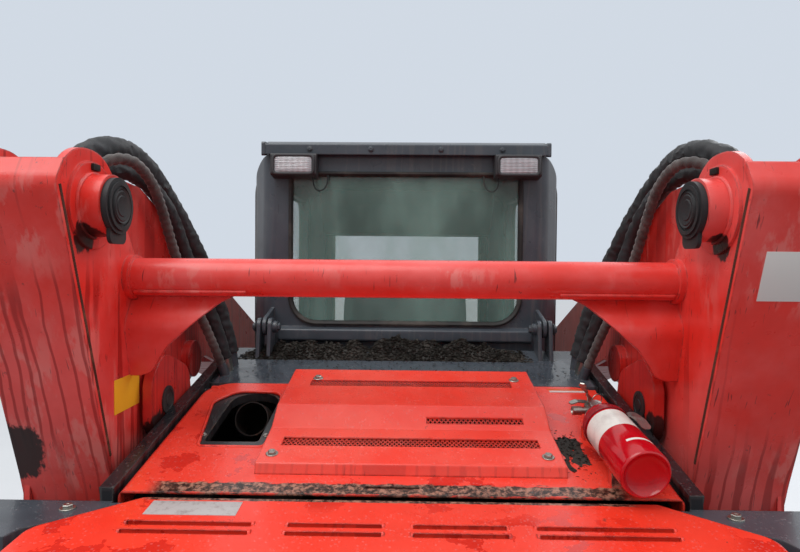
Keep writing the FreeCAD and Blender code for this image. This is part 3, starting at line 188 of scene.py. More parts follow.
class Value:
    """A number, vector or colour in a shader, on which arithmetic adds nodes."""

    def __init__(self, graph: Graph, socket: bpy.types.NodeSocket) -> None:
        self.graph = graph
        self.socket = socket

    def math(self, operation: str, other: object = 0.0, clamp: bool = False) -> "Value":
        """Return a scalar operation on this value and another."""
        return self.graph.value("ShaderNodeMath", {0: self, 1: other}, operation=operation, use_clamp=clamp)

    def vector(self, operation: str, other: object, output: int | str = 0) -> "Value":
        """Return a vector operation on this value and another."""
        return self.graph.value("ShaderNodeVectorMath", {0: self, 1: other}, output, operation=operation)

    def __add__(self, other: object) -> "Value":
        return self.math("ADD", other)

    def __sub__(self, other: object) -> "Value":
        return self.math("SUBTRACT", other)

    def __mul__(self, other: object) -> "Value":
        return self.math("MULTIPLY", other)

    def __truediv__(self, other: object) -> "Value":
        return self.math("DIVIDE", other)

    def __abs__(self) -> "Value":
        return self.math("ABSOLUTE")

    def rest(self, whole: float = 1.0) -> "Value":
        """Return what is left of a whole without this value, not below zero."""
        return (self * -1.0).math("ADD", whole, clamp=True)

    def either(self, other: object) -> "Value":
        """Return the larger of two values."""
        return self.math("MAXIMUM", other)

    def wave(self, pitch: float) -> "Value":
        """Return the sine of this value times a pitch."""
        return (self * pitch).math("SINE")

    def distance(self, spot: object) -> "Value":
        """Return how far this place is from another."""
        return self.vector("DISTANCE", spot, "Value")

    def scaled(self, x: float, y: float, z: float) -> "Value":
        """Return a vector multiplied by axis."""
        return self.vector("MULTIPLY", (x, y, z))

    def parts(self) -> list["Value"]:
        """Return the three parts of a vector."""
        return [Value(self.graph, part) for part in self.graph.add("ShaderNodeSeparateXYZ", {0: self}).outputs]

    def noise(self, scale: float, detail: float = 3.0, rough: float = 0.5) -> "Value":
        """Return smooth noise from 0 to 1 at this place."""
        inputs = {"Vector": self, "Scale": scale, "Detail": detail, "Roughness": rough}
        return self.graph.value("ShaderNodeTexNoise", inputs)

    def cells(self, scale: float) -> "Value":
        """Return the distance to the middle of a cell at this place."""
        return self.graph.value("ShaderNodeTexVoronoi", {"Vector": self, "Scale": scale})

    def band(self, low: float, high: float) -> "Value":
        """Return the value mapped from low..high to 0..1, clamped and smooth."""
        inputs = {"Value": self, "From Min": low, "From Max": high}
        return self.graph.value("ShaderNodeMapRange", inputs, interpolation_type="SMOOTHSTEP")

    def mix(self, a: object, b: object, blend_type: str = "MIX") -> "Value":
        """Return the first colour where this is 0 and the second where it is 1."""
        inputs = {0: self, 6: a, 7: b}
        return self.graph.value("ShaderNodeMix", inputs, 2, data_type="RGBA", blend_type=blend_type)

    def between(self, a: object, b: object) -> "Value":
        """Return the first number where this is 0 and the second where it is 1."""
        return self.graph.value("ShaderNodeMix", {0: self, 2: a, 3: b}, data_type="FLOAT")

    def bump(self, strength: float, depth: float, **normal: object) -> "Value":
        """Return a normal bent by this height, from the face's own or a given Normal."""
        inputs = {"Height": self, "Strength": strength, "Distance": depth, **normal}
        return self.graph.value("ShaderNodeBump", inputs)


class Effect:
    """A node group that several materials share, made the first time that it is used."""

    def __init__(self, build: Callable[..., Sequence[Value]], outputs: str, **inputs: str) -> None:
        self.build = build
        self.outputs = outputs.split()
        self.inputs = {"Vector": "NodeSocketVector", **inputs}
        self.tree: bpy.types.NodeTree | None = None

    def _make(self) -> None:
        self.tree = bpy.data.node_groups.new(self.build.__name__, "ShaderNodeTree")
        for label, kind in self.inputs.items():
            self.tree.interface.new_socket(label, in_out="INPUT", socket_type=kind)
        for label in self.outputs:
            kind = "NodeSocketVector" if label == "Normal" else "NodeSocketFloat"
            self.tree.interface.new_socket(label, in_out="OUTPUT", socket_type=kind)
        graph = Graph(self.tree)
        source = graph.add("NodeGroupInput").outputs
        made = self.build(*(Value(graph, source[label]) for label in self.inputs))
        graph.add("NodeGroupOutput", dict(zip(self.outputs, made)))

    def __call__(self, place: Value, *others: object) -> list[Value]:
        """Add the effect to a material.

        Args:
            place: Where it is.
            *others: Its other inputs, in order.

        Returns:
            Its outputs, in order.
        """
        if self.tree is None:
            self._make()
        node = place.graph.add("ShaderNodeGroup", node_tree=self.tree)
        for socket, value in zip(node.inputs, (place, *others)):
            place.graph.feed(socket, value)
        return [Value(place.graph, socket) for socket in node.outputs]


# Effects that several materials share


def runs(place: Value) -> Sequence[Value]:
    """Water trails, chalky patches and short dark drips on upright faces."""
    nx, ny, nz = place.graph.normal().parts()
    x, y, z = place.parts()
    upright = abs(nz).band(0.75, 0.35)
    rearward = (abs(ny) - abs(nx)).band(-0.1, 0.1)
    across = rearward.between(y, x) + (place.noise(7.0, 2.0) - 0.5) * 0.022
    flow = place.graph.value("ShaderNodeCombineXYZ", {0: across, 2: z})
    trail = abs(flow.scaled(30, 1, 0.9).noise(1.0, 0.0) - 0.5).band(0.060, 0.025)
    where = place.noise(2.3, 1.0).band(0.36, 0.50)
    broad = place.scaled(24, 24, 7).noise(1.0, 5.0, 0.62).band(0.50, 0.60)
    chalk = broad * place.noise(4.0, 2.0).band(0.42, 0.62)
    short = flow.scaled(170, 1, 17).noise(1.0, 2.0, 0.55).band(0.645, 0.69)
    drip = short * place.noise(11.0, 2.0).band(0.44, 0.58)
    return trail * where * upright, chalk * upright, drip * upright


def beads(place: Value) -> Sequence[Value]:
    """Water beads standing on faces that look up, as a height and a mask."""
    cell = place.graph.add("ShaderNodeTexVoronoi", {"Vector": place, "Scale": 150.0}).outputs
    radius = Value(place.graph, cell["Color"]).parts()[0].band(0.35, 1.0) * 0.42
    share = Value(place.graph, cell["Distance"]) / (radius + 0.001)
    dome = (share * share).rest().math("SQRT")
    top = place.graph.normal().parts()[2].band(0.55, 0.9)
    height = dome * radius * top * place.noise(9.0, 2.0).band(0.34, 0.52)
    return height, height.band(0.01, 0.08)


def wear(place: Value) -> Sequence[Value]:
    """Chips scattered over a face, a worn line along its edges, and its normal with soft edges."""
    chip = place.noise(62.0, 5.0, 0.65).band(0.66, 0.69) * place.noise(6.0, 2.0).band(0.5, 0.6)
    soft = place.graph.value("ShaderNodeBevel", {"Radius": 0.005}, samples=4)
    flat = soft.vector("DOT_PRODUCT", place.graph.normal(), "Value")
    edge = flat.band(0.97, 0.86) * place.noise(38.0, 4.0, 0.6).band(0.45, 0.6)
    return chip, edge, soft


def grease(place: Value, centre: Value, radius: Value) -> Sequence[Value]:
    """A smear of black grease about one place."""
    ragged = place.scaled(26, 26, 13).noise(1.0, 5.0, 0.65) - 0.5
    return [((place.distance(centre) - ragged * radius * 1.6) / radius).band(1.0, 0.82)]


def dirt(place: Value) -> Sequence[Value]:
    """Dust that lies low on the machine, in patches."""
    low = place.parts()[2].band(0.95, 0.05)
    cloud = (place.noise(7.0, 6.0, 0.62) + low * 0.25).band(0.55, 0.95)
    return [cloud * place.noise(85.0).band(0.2, 0.8)]


RUNS = Effect(runs, "Trail Chalk Drip")
BEADS = Effect(beads, "Height Mask")
WEAR = Effect(wear, "Chip Edge Normal")
GREASE = Effect(grease, "Mask", Centre="NodeSocketVector", Radius="NodeSocketFloat")
DIRT = Effect(dirt, "Dust")


# Finishes


@dataclass(frozen=True)
class Finish:
    """A material, made the first time that it is asked for."""

    name: str

    def shade(self, place: Value) -> dict[str, object]:
        """Return the inputs of the material's shader."""
        raise NotImplementedError

    def material(self) -> bpy.types.Material:
        """Return the Blender material."""
        found = bpy.data.materials.get(self.name)
        if found is None:
            found = bpy.data.materials.new(self.name)
            found.use_nodes = True
            found.node_tree.nodes.clear()
            graph = Graph(found.node_tree)
            shader = graph.value("ShaderNodeBsdfPrincipled", self.shade(graph.place()))
            graph.add("ShaderNodeOutputMaterial", {"Surface": shader})
        return found


@dataclass(frozen=True)
class Paint(Finish):
    """Sprayed enamel that has faded, run, chipped and got wet, with a painted glint on its water beads."""

    base: Color
    faded: Color
    fade: float = 0.5
    run: Color = (0.1, 0.02, 0.02)
    runs: float = 0.5
    chalk: Color = (0.80, 0.26, 0.23)
    chalky: float = 0.0
    drips: float = 0.7
    drip: Color = (0.02, 0.012, 0.012)
    chips: float = 0.6
    dust: float = 0.3
    dust_color: Color = (0.30, 0.26, 0.22)
    rough: float = 0.27
    # How strong the water beads are: their bump, and the painted glint that whitens the colour on them.
    beads: float = 0.5
    primer: Color = (0.055, 0.035, 0.03)
    stains: tuple[tuple[Point, float], ...] = ()
    stain: Color = (0.012, 0.010, 0.010)
    still: float = 0.0

    def soaked(self, place: Value) -> Value | None:
        """Return where water stands in a film, if it does."""
        return None

    def colour(self, place: Value) -> Value:
        """Return the enamel's colour before wear."""
        patch = place.noise(3.2, 6.0, 0.62).band(0.36, 0.68) * self.fade
        return (place.noise(22.0, 4.0) * 0.16).mix(patch.mix(self.base, self.faded), (0.0, 0.0, 0.0))

    def shade(self, place: Value) -> dict[str, object]:
        trail, chalk, drip = RUNS(place)
        height, bead = BEADS(place)
        chip, edge, soft = WEAR(place)
        (dust,) = DIRT(place)
        outer = abs(place.parts()[0]).band(self.still - 0.01, self.still)
        bare = chip.either(edge) * self.chips
        layers = [
            (chalk * self.chalky, self.chalk), (trail * self.runs * outer, self.run), (drip * self.drips, self.drip),
            (dust * self.dust, self.dust_color), (bare, self.primer)]
        layers += [(GREASE(place, *stain)[0] * 0.96, self.stain) for stain in self.stains]
        colour = self.colour(place)
        for share, tint in layers:
            colour = share.mix(colour, tint)
        rough = place.noise(14.0, 4.0).between(self.rough - 0.08, self.rough + 0.16)
        rough = bead.between(dust.between(rough, 0.85), 0.14)
        wet = self.soaked(place)
        if wet:
            rough = wet.between(rough, 0.07)
        normal = (place.noise(420.0, 2.0) - bare * 1.5).bump(0.12, 0.001, Normal=soft)
        if self.beads:
            normal = height.bump(0.6 * self.beads, 0.003, Normal=normal)
        # The water beads' mask screens white into the colour: a painted glint on the beads.
        return {
            "Base Color": (bead * (0.10 * self.beads)).mix(colour, (1.0, 1.0, 1.0), "SCREEN"), "Roughness": rough,
            "Specular IOR Level": 0.42, "Coat Weight": 0.16, "Coat Roughness": 0.10, "Normal": normal}


@dataclass(frozen=True)
class HoodPaint(Paint):
    """Enamel with a bare, rusty strip along the seam behind the hood and grime about the exhaust."""

    seam_y: float = -1.466
    seam_half: float = 0.50
    strip: float = 0.034
    soot: Point = (-0.402, -1.12, 1.19)
    damp: Color = (0.52, 0.013, 0.009)

    def soaked(self, place: Value) -> Value:
        return place.noise(12.0, 5.0, 0.62).band(0.545, 0.56) * place.noise(2.9, 1.0).band(0.44, 0.56)

    def colour(self, place: Value) -> Value:
        colour = (self.soaked(place) * 0.62).mix(super().colour(place), self.damp)
        x, y, _ = place.parts()
        far = abs(y - self.seam_y)
        crumb = far.band(0.085, 0.02).either(place.noise(5.0, 2.0).band(0.60, 0.68))
        crumb = crumb * place.noise(78.0, 6.0, 0.72).band(0.665, 0.69)
        colour = crumb.mix(colour, place.noise(130.0).mix((0.015, 0.010, 0.008), (0.25, 0.12, 0.03)))
        ragged = (place.scaled(26, 90, 90).noise(1.0, 5.0, 0.7) - 0.5) * self.strip
        near = (far - ragged).band(self.strip * 0.62, self.strip * 0.5)
        wide = abs(x + 0.02).band(self.seam_half, self.seam_half - 0.04)
        rust = place.noise(90.0, 5.0, 0.7).band(0.42, 0.62).mix((0.030, 0.016, 0.012), (0.40, 0.19, 0.13))
        black = place.distance(self.soot).band(0.16, 0.06) * place.noise(20.0, 5.0).band(0.3, 0.7)
        return (black * 0.6).mix((near * wide).mix(colour, rust), (0.02, 0.008, 0.008))


@dataclass(frozen=True)
class SurroundPaint(Paint):
    """Enamel of the hood's surround, nearly black along its two rails."""

    rail_x: float = 0.560
    rail: Color = (0.014, 0.014, 0.017)

    def soaked(self, place: Value) -> Value:
        return place.noise(6.0, 4.0).band(0.46, 0.50) * place.graph.normal().parts()[2].band(0.3, 0.8)

    def colour(self, place: Value) -> Value:
        outer = abs(place.parts()[0]).band(self.rail_x - 0.005, self.rail_x + 0.005)
        return outer.mix(super().colour(place), self.rail)


@dataclass(frozen=True)
class Metal(Finish):
    """Bare or plated metal with scratches along the machine, stains and rust."""

    base: Color
    rust: float = 0.2
    rough: float = 0.35
    grain: Point = (400, 6, 400)
    metallic: float = 1.0

    def shade(self, place: Value) -> dict[str, object]:
        scratch = place.scaled(*self.grain).noise(1.0, 3.0, 0.6)
        stain = place.noise(9.0, 5.0, 0.6)
        colour = stain.band(0.3, 0.7).mix(self.base, toned(self.base, 0.62))
        colour = (scratch.band(0.55, 0.75) * 0.3).mix(colour, toned(self.base, 1.6))
        spots = place.noise(26.0, 6.0, 0.7).band(0.62 - 0.2 * self.rust, 0.74) * min(1.0, self.rust * 2.5)
        rough = stain.band(0.25, 0.75).between(self.rough - 0.05, self.rough + 0.15)
        brown = place.noise(120.0).mix((0.09, 0.035, 0.018), (0.26, 0.12, 0.06))
        return {
            "Base Color": spots.mix(colour, brown), "Metallic": spots.rest(self.metallic),
            "Roughness": spots.between(rough, 0.85), "Normal": (scratch + spots).bump(0.16, 0.001)}


@dataclass(frozen=True)
class Rubber(Finish):
    """Moulded rubber with dust in its pores."""

    base: Color = (0.022, 0.022, 0.024)
    dusty: float = 0.3
    grain: float = 240.0

    def shade(self, place: Value) -> dict[str, object]:
        cloud = place.noise(8.0, 6.0, 0.65).band(0.42, 0.75)
        fine = place.noise(self.grain) + place.noise(40.0) * 0.5
        return {
            "Base Color": (cloud * self.dusty).mix(self.base, (0.20, 0.175, 0.15)),
            "Roughness": cloud.between(0.55, 0.88), "Specular IOR Level": 0.35, "Normal": fine.bump(0.25, 0.0012)}


@dataclass(frozen=True)
class Tread(Rubber):
    """Tyre rubber with moulded rings on its wall and dried mud between the lugs."""

    rear_y: float = -0.92
    wheelbase: float = 1.10
    hub_z: float = 0.42

    def shade(self, place: Value) -> dict[str, object]:
        _, y, z = place.parts()
        half = self.wheelbase / 2
        along = (y + (half - self.rear_y)).math("MODULO", self.wheelbase) - half
        up = z - self.hub_z
        reach = (along * along + up * up).math("SQRT")
        mud = reach.band(0.405, 0.385) * reach.band(0.33, 0.375) * 0.55
        cloud = place.noise(11.0, 6.0, 0.65).band(0.38, 0.72) * 0.28
        share = mud.math("ADD", cloud, clamp=True)
        earth = place.noise(60.0, 4.0).mix((0.11, 0.085, 0.065), (0.25, 0.205, 0.16))
        height = reach.wave(520.0) * 0.5 * reach.band(0.345, 0.335) + place.noise(180.0) * 0.9
        return {
            "Base Color": (share * place.noise(30.0, 4.0)).mix(self.base, earth),
            "Roughness": share.between(0.58, 0.93), "Normal": height.bump(0.45, 0.0014)}


@dataclass(frozen=True)
class Cloth(Finish):
    """Woven sleeve or grained vinyl."""

    base: Color
    pale: Color
    weave: float = 900.0
    sheen: float = 0.3
    rough: float = 0.8

    def shade(self, place: Value) -> dict[str, object]:
        _, y, z = place.parts()
        cloud = place.noise(18.0, 5.0, 0.6).band(0.35, 0.75)
        height = y.wave(self.weave * 2) * z.wave(self.weave * 2) * 0.5 + place.noise(260.0)
        return {
            "Base Color": (cloud * 0.6).mix(self.base, self.pale), "Sheen Weight": self.sheen,
            "Roughness": cloud.between(self.rough - 0.12, self.rough + 0.1), "Normal": height.bump(0.3, 0.0012)}


@dataclass(frozen=True)
class Pane(Finish):
    """Tinted safety glass with a dried film of rain and dust."""

    tint: Color
    alpha: float
    film: float

    def shade(self, place: Value) -> dict[str, object]:
        haze = place.scaled(3, 3, 1.2).noise(1.6, 5.0, 0.6).band(0.3, 0.8)
        speck = place.cells(90.0).band(0.13, 0.07) * place.noise(12.0, 2.0).band(0.5, 0.68)
        cover = haze * self.film + speck * 0.14
        return {
            "Base Color": haze.mix(self.tint, toned(self.tint, 1.4)), "Alpha": cover.math("ADD", self.alpha, clamp=True),
            "Roughness": speck.between(0.05, 0.3), "Specular IOR Level": 0.8, "Coat Weight": 0.4,
            "Coat Roughness": 0.03}


@dataclass(frozen=True)
class Moulded(Finish):
    """Moulded plastic with a fine leathery grain."""

    base: Color = (0.03, 0.03, 0.033)
    rough: float = 0.55
    grain: float = 380.0
    depth: float = 0.25

    def shade(self, place: Value) -> dict[str, object]:
        cloud = place.noise(16.0, 4.0)
        return {
            "Base Color": (cloud * 0.5).mix(self.base, toned(self.base, 2.2)),
            "Roughness": cloud.between(self.rough - 0.1, self.rough + 0.15),
            "Normal": place.cells(self.grain).bump(self.depth, 0.0008)}


@dataclass(frozen=True)
class Lens(Finish):
    """Fluted lamp glass whose grey colour paints the shine of a bright reflector behind it, with painted shade and
    highlight along the flutes and patches of painted highlight.
    """

    base: Color = (0.50, 0.51, 0.54)
    flute: float = 900.0

    def shade(self, place: Value) -> dict[str, object]:
        x, _, z = place.parts()
        # Painted shade and highlight in stripes along the flutes, and patches of painted highlight (hot spots).
        tone = (z.wave(self.flute) + x.wave(self.flute * 0.35) * 0.6).band(-1.4, 1.4)
        patch = place.noise(24.0, 4.0).band(0.3, 0.7) * 0.35
        colour = patch.mix(tone.mix(toned(self.base, 0.55), self.base), toned(self.base, 1.35))
        return {
            "Base Color": colour, "Roughness": 0.14, "Coat Weight": 1.0, "Coat Roughness": 0.03,
            "Normal": tone.bump(0.35, 0.002)}


@dataclass(frozen=True)
class BottlePaint(Finish):
    """Glossy red enamel of the hand extinguisher, with a bare label near its neck and one by its foot."""

    base: Color = (0.50, 0.0015, 0.009)
    start: Point = (0.468, -1.535, 1.200)
    way: Point = (-0.0456, 0.9833, 0.1767)
    label: Flat = (0.118, 0.190)
    strip: Flat = (0.0495, 0.0570)
    strip_half: float = 0.030

    def shade(self, place: Value) -> dict[str, object]:
        off = place.vector("SUBTRACT", self.start)
        reach = off.vector("DOT_PRODUCT", self.way, "Value")
        x, _, z = off.parts()
        (low, high), (foot, head) = self.label, self.strip
        label = reach.band(low, low + 0.001) * reach.band(high + 0.001, high) * x.band(0.036, 0.032)
        strip = reach.band(foot, foot + 0.0005) * reach.band(head + 0.0005, head) * z.band(0.026, 0.028)
        inside = label.either(strip * abs(x - 0.006).band(self.strip_half, self.strip_half - 0.0005))
        grime = place.noise(30.0, 5.0, 0.65).band(0.4, 0.75)
        paper = (grime * 0.5).mix((0.78, 0.77, 0.72), (0.45, 0.38, 0.36))
        colour = (grime * 0.3).mix(self.base, (0.20, 0.004, 0.008))
        return {
            "Base Color": inside.mix(colour, paper), "Roughness": inside.between(0.16, 0.42),
            "Specular IOR Level": 0.35, "Coat Weight": 0.45, "Coat Roughness": 0.06,
            "Normal": BEADS(place)[0].bump(0.5, 0.003)}


@dataclass(frozen=True)
class BareLabel(Finish):
    """A worn self-adhesive plate with nothing on it."""

    base: Color
    worn: float = 0.3

    def shade(self, place: Value) -> dict[str, object]:
        scuff = place.noise(55.0, 6.0, 0.7).band(0.72 - 0.35 * self.worn, 0.8)
        colour = (place.noise(8.0) * 0.25).mix(self.base, toned(self.base, 0.6))
        return {
            "Base Color": (scuff * 0.8).mix(colour, (0.16, 0.10, 0.09)), "Roughness": scuff.between(0.35, 0.7),
            "Normal": scuff.bump(0.2, 0.0006)}


SLATE = dict(
    base=(0.050, 0.060, 0.074), faded=(0.082, 0.096, 0.116), fade=0.8, run=(0.12, 0.12, 0.12), runs=0.3,
    chalk=(0.11, 0.12, 0.13), chalky=0.3, drips=0.3, chips=0.5, primer=(0.16, 0.15, 0.14))
EAR_GREASE = (((-0.846, -1.385, 1.180), 0.078), ((-0.632, -1.468, 1.645), 0.040), ((0.632, -1.462, 1.640), 0.032))
ARM_GREASE = (((-0.606, -1.185, 1.175), 0.055), ((0.606, -1.160, 1.168), 0.062), ((0.606, -1.215, 1.205), 0.040))


class Coat(Enum):
    """Every finish on the machine."""

    RED = Paint(
        "red_enamel", (0.84, 0.036, 0.024), (0.92, 0.14, 0.13), fade=0.8, run=(0.33, 0.010, 0.008), runs=0.72,
        chalky=0.55, still=0.636, stains=EAR_GREASE)
    RED_HOOD = HoodPaint("red_hood", (0.93, 0.042, 0.020), (0.92, 0.095, 0.062), runs=0.3, drips=0.3)
    RED_SCREEN = Paint("red_screen", (0.93, 0.042, 0.020), (0.95, 0.14, 0.10), fade=0.55, runs=0.2, drips=0.3)
    RED_DOOR = HoodPaint(
        "red_door", (0.96, 0.042, 0.018), (0.94, 0.085, 0.050), fade=0.4, seam_y=-1.502, strip=0.009,
        run=(0.50, 0.02, 0.012))
    RED_DEEP = Paint(
        "red_arm", (0.66, 0.022, 0.015), (0.74, 0.085, 0.075), run=(0.30, 0.010, 0.008), chalky=0.3,
        stains=ARM_GREASE)
    SURROUND = SurroundPaint("surround_enamel", **SLATE, dust=0.2)
    GREY = Paint("slate_enamel", **SLATE, dust=0.35)
    BLACK = Paint(
        "black_enamel", (0.016, 0.016, 0.018), (0.040, 0.041, 0.044), fade=0.6, run=(0.09, 0.085, 0.08), runs=0.35,
        chalk=(0.06, 0.06, 0.06), chalky=0.3, drips=0.2, chips=0.9, primer=(0.22, 0.14, 0.10), dust=0.5)
    CREAM = Paint(
        "cream_enamel", (0.62, 0.58, 0.48), (0.55, 0.50, 0.41), run=(0.30, 0.20, 0.13), runs=0.4, drips=0.2, dust=0.6)
    STEEL = Metal("worn_steel", (0.44, 0.43, 0.42), rust=0.35, rough=0.34)
    ZINC = Metal("zinc_plate", (0.56, 0.55, 0.50), rust=0.1, rough=0.3, grain=(200, 200, 200))
    CHROME = Metal("chrome_rod", (0.80, 0.80, 0.82), rust=0.0, rough=0.1, grain=(30, 30, 30))
    CAST = Metal("cast_iron", (0.10, 0.095, 0.09), rust=0.45, rough=0.6, grain=(60, 60, 60), metallic=0.6)
    SOOT = Metal("sooty_pipe", (0.035, 0.028, 0.026), rust=0.3, rough=0.62, grain=(50, 50, 50), metallic=0.7)
    MESH = Metal("dark_mesh", (0.12, 0.045, 0.038), rust=0.3, rough=0.55, grain=(60, 60, 60), metallic=0.3)
    RUBBER = Rubber("moulded_rubber", dusty=0.25)
    SEAL = Rubber("window_seal", (0.020, 0.019, 0.019), dusty=0.45)
    LINING = Rubber("cab_lining", (0.012, 0.012, 0.013), dusty=0.1)
    TYRE = Tread("tyre_rubber")
    SLEEVE = Cloth("woven_sleeve", (0.009, 0.010, 0.012), (0.030, 0.032, 0.038), sheen=0.1, rough=0.62)
    BRAID = Cloth("grey_braid", (0.045, 0.036, 0.034), (0.16, 0.14, 0.13), weave=600.0)
    VINYL = Cloth("seat_vinyl", (0.018, 0.018, 0.02), (0.03, 0.03, 0.033), weave=300.0, sheen=0.1, rough=0.5)
    GLASS = Pane("cab_pane", (0.22, 0.37, 0.32), alpha=0.17, film=0.30)
    FRONT_GLASS = Pane("door_pane", (0.38, 0.66, 0.44), alpha=0.22, film=0.08)
    PLASTIC = Moulded("black_plastic")
    LAMP = Lens("lamp_lens")
    TAIL = Lens("tail_lens", (0.42, 0.012, 0.010), flute=500.0)
    BOTTLE = BottlePaint("bottle_enamel")
    BOTTLE_DARK = Paint("clamp_enamel", (0.28, 0.006, 0.012), (0.36, 0.02, 0.03), fade=0.4, beads=0.0)
    SEAM = Metal("rusty_seam", (0.10, 0.04, 0.025), rust=0.6, rough=0.7, metallic=0.2)
    YELLOW = BareLabel("yellow_plate", (1.0, 0.60, 0.03), worn=0.1)
    ORANGE = BareLabel("orange_strip", (0.75, 0.15, 0.03))
    WHITE = BareLabel("white_plate", (0.78, 0.77, 0.74), worn=0.15)
    WORN = BareLabel("worn_plate", (0.50, 0.48, 0.47), worn=0.75)
    LITTER = Rubber("wet_leaves", (0.016, 0.013, 0.010), dusty=0.25, grain=500.0)

    def material(self) -> bpy.types.Material:
        """Return the Blender material."""
        return self.value.material()


SOLIDS: dict[Coat, str] = {
    Coat.RED: "rear_link_frame link_bosses",
    Coat.RED_HOOD: "hood_panel",
    Coat.RED_SCREEN: "hood_screen",
    Coat.RED_DOOR: "rear_door_panel",
    Coat.RED_DEEP: "link_towers arm_cross_tube lift_arm arm_leg control_link",
    Coat.SURROUND: "hood_surround",
    Coat.GREY: "rear_corner_panels cab_frame cab_roof",
    Coat.BLACK: "main_frame rear_bumper exhaust_collar rear_grille seat_base door_frame quick_coupler lift_barrel "
                "tilt_barrel",
    Coat.CREAM: "rim_rear rim_front",
    Coat.STEEL: "bucket",
    Coat.ZINC: "frame_pins",
    Coat.CHROME: "lift_rod tilt_rod",
    Coat.CAST: "axle_housings engine_block",
    Coat.SOOT: "exhaust_pipe",
    Coat.MESH: "screen_mesh",
    Coat.RUBBER: "boss_caps",
    Coat.TYRE: "tyre_rear tyre_front",
    Coat.SLEEVE: "hoses",
    Coat.VINYL: "seat_cushion seat_back",
    Coat.GLASS: "cab_glass",
    Coat.FRONT_GLASS: "door_glass",
    Coat.PLASTIC: "control_consoles work_lamps",
    Coat.TAIL: "tail_lamps",
    Coat.BOTTLE: "fire_extinguisher",
}


# Lines


def ways_along(points: Sequence[Vector]) -> list[Vector]:
    """Return the direction of a line at each of its points."""
    ends = [points[0], *points, points[-1]]
    return [(b - a).normalized() for a, b in zip(ends, ends[2:])]


def resample(points: Sequence[Vector], step: float) -> list[Vector]:
    """Return points evenly spaced along a line."""
    out = [points[0].copy()]
    left = step
    for a, b in zip(points, points[1:]):
        length = (b - a).length
        gone = 0.0
        while length - gone >= left:
            gone += left
            out.append(a + (b - a) * (gone / length))
            left = step
        left -= length - gone
    if (out[-1] - points[-1]).length > step * 0.3:
        out.append(points[-1].copy())
    return out


def circle(centre: Vector, radius: float, count: int) -> list[Vector]:
    """Return points round a circle that looks sideways."""
    turns = [math.tau * k / count for k in range(count)]
    return [centre + Vector((0, math.cos(t) * radius, math.sin(t) * radius)) for t in turns]


def window(half: float, low: float, high: float, foot: float, head: float) -> list[Point]:
    """Return an upright opening's corners (across, up, corner radius), with its radii at foot and head."""
    return [(-half, low, foot), (half, low, foot), (half, high, head), (-half, high, head)]


def rounded_loop(corners: Sequence[Point], steps: int) -> list[Flat]:
    """Return a closed outline with arcs at its corners, from corners (u, v, corner radius)."""
    out = []
    for i, (u, v, radius) in enumerate(corners):
        here = Vector((u, v))
        back = (Vector(corners[i - 1][:2]) - here).normalized()
        ahead = (Vector(corners[(i + 1) % len(corners)][:2]) - here).normalized()
        half = back.angle(ahead) / 2
        reach = radius / math.tan(half)
        middle = here + (back + ahead).normalized() * (radius / math.sin(half))
        first = here + back * reach - middle
        turn = first.angle_signed(here + ahead * reach - middle)
        out += [tuple(middle + Matrix.Rotation(-turn * k / steps, 2) @ first) for k in range(steps + 1)]
    return out


# Mesh building


def keep(made: bpy.types.Object, body: Body | str, slot: str) -> bpy.types.Object:
    """Let a piece ride on its body."""
    name = body.value if isinstance(body, Body) else body
    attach(made, name)
    LOG.info("piece %s on %s: %d faces", made.name, name, len(made.data.polygons))
    return made


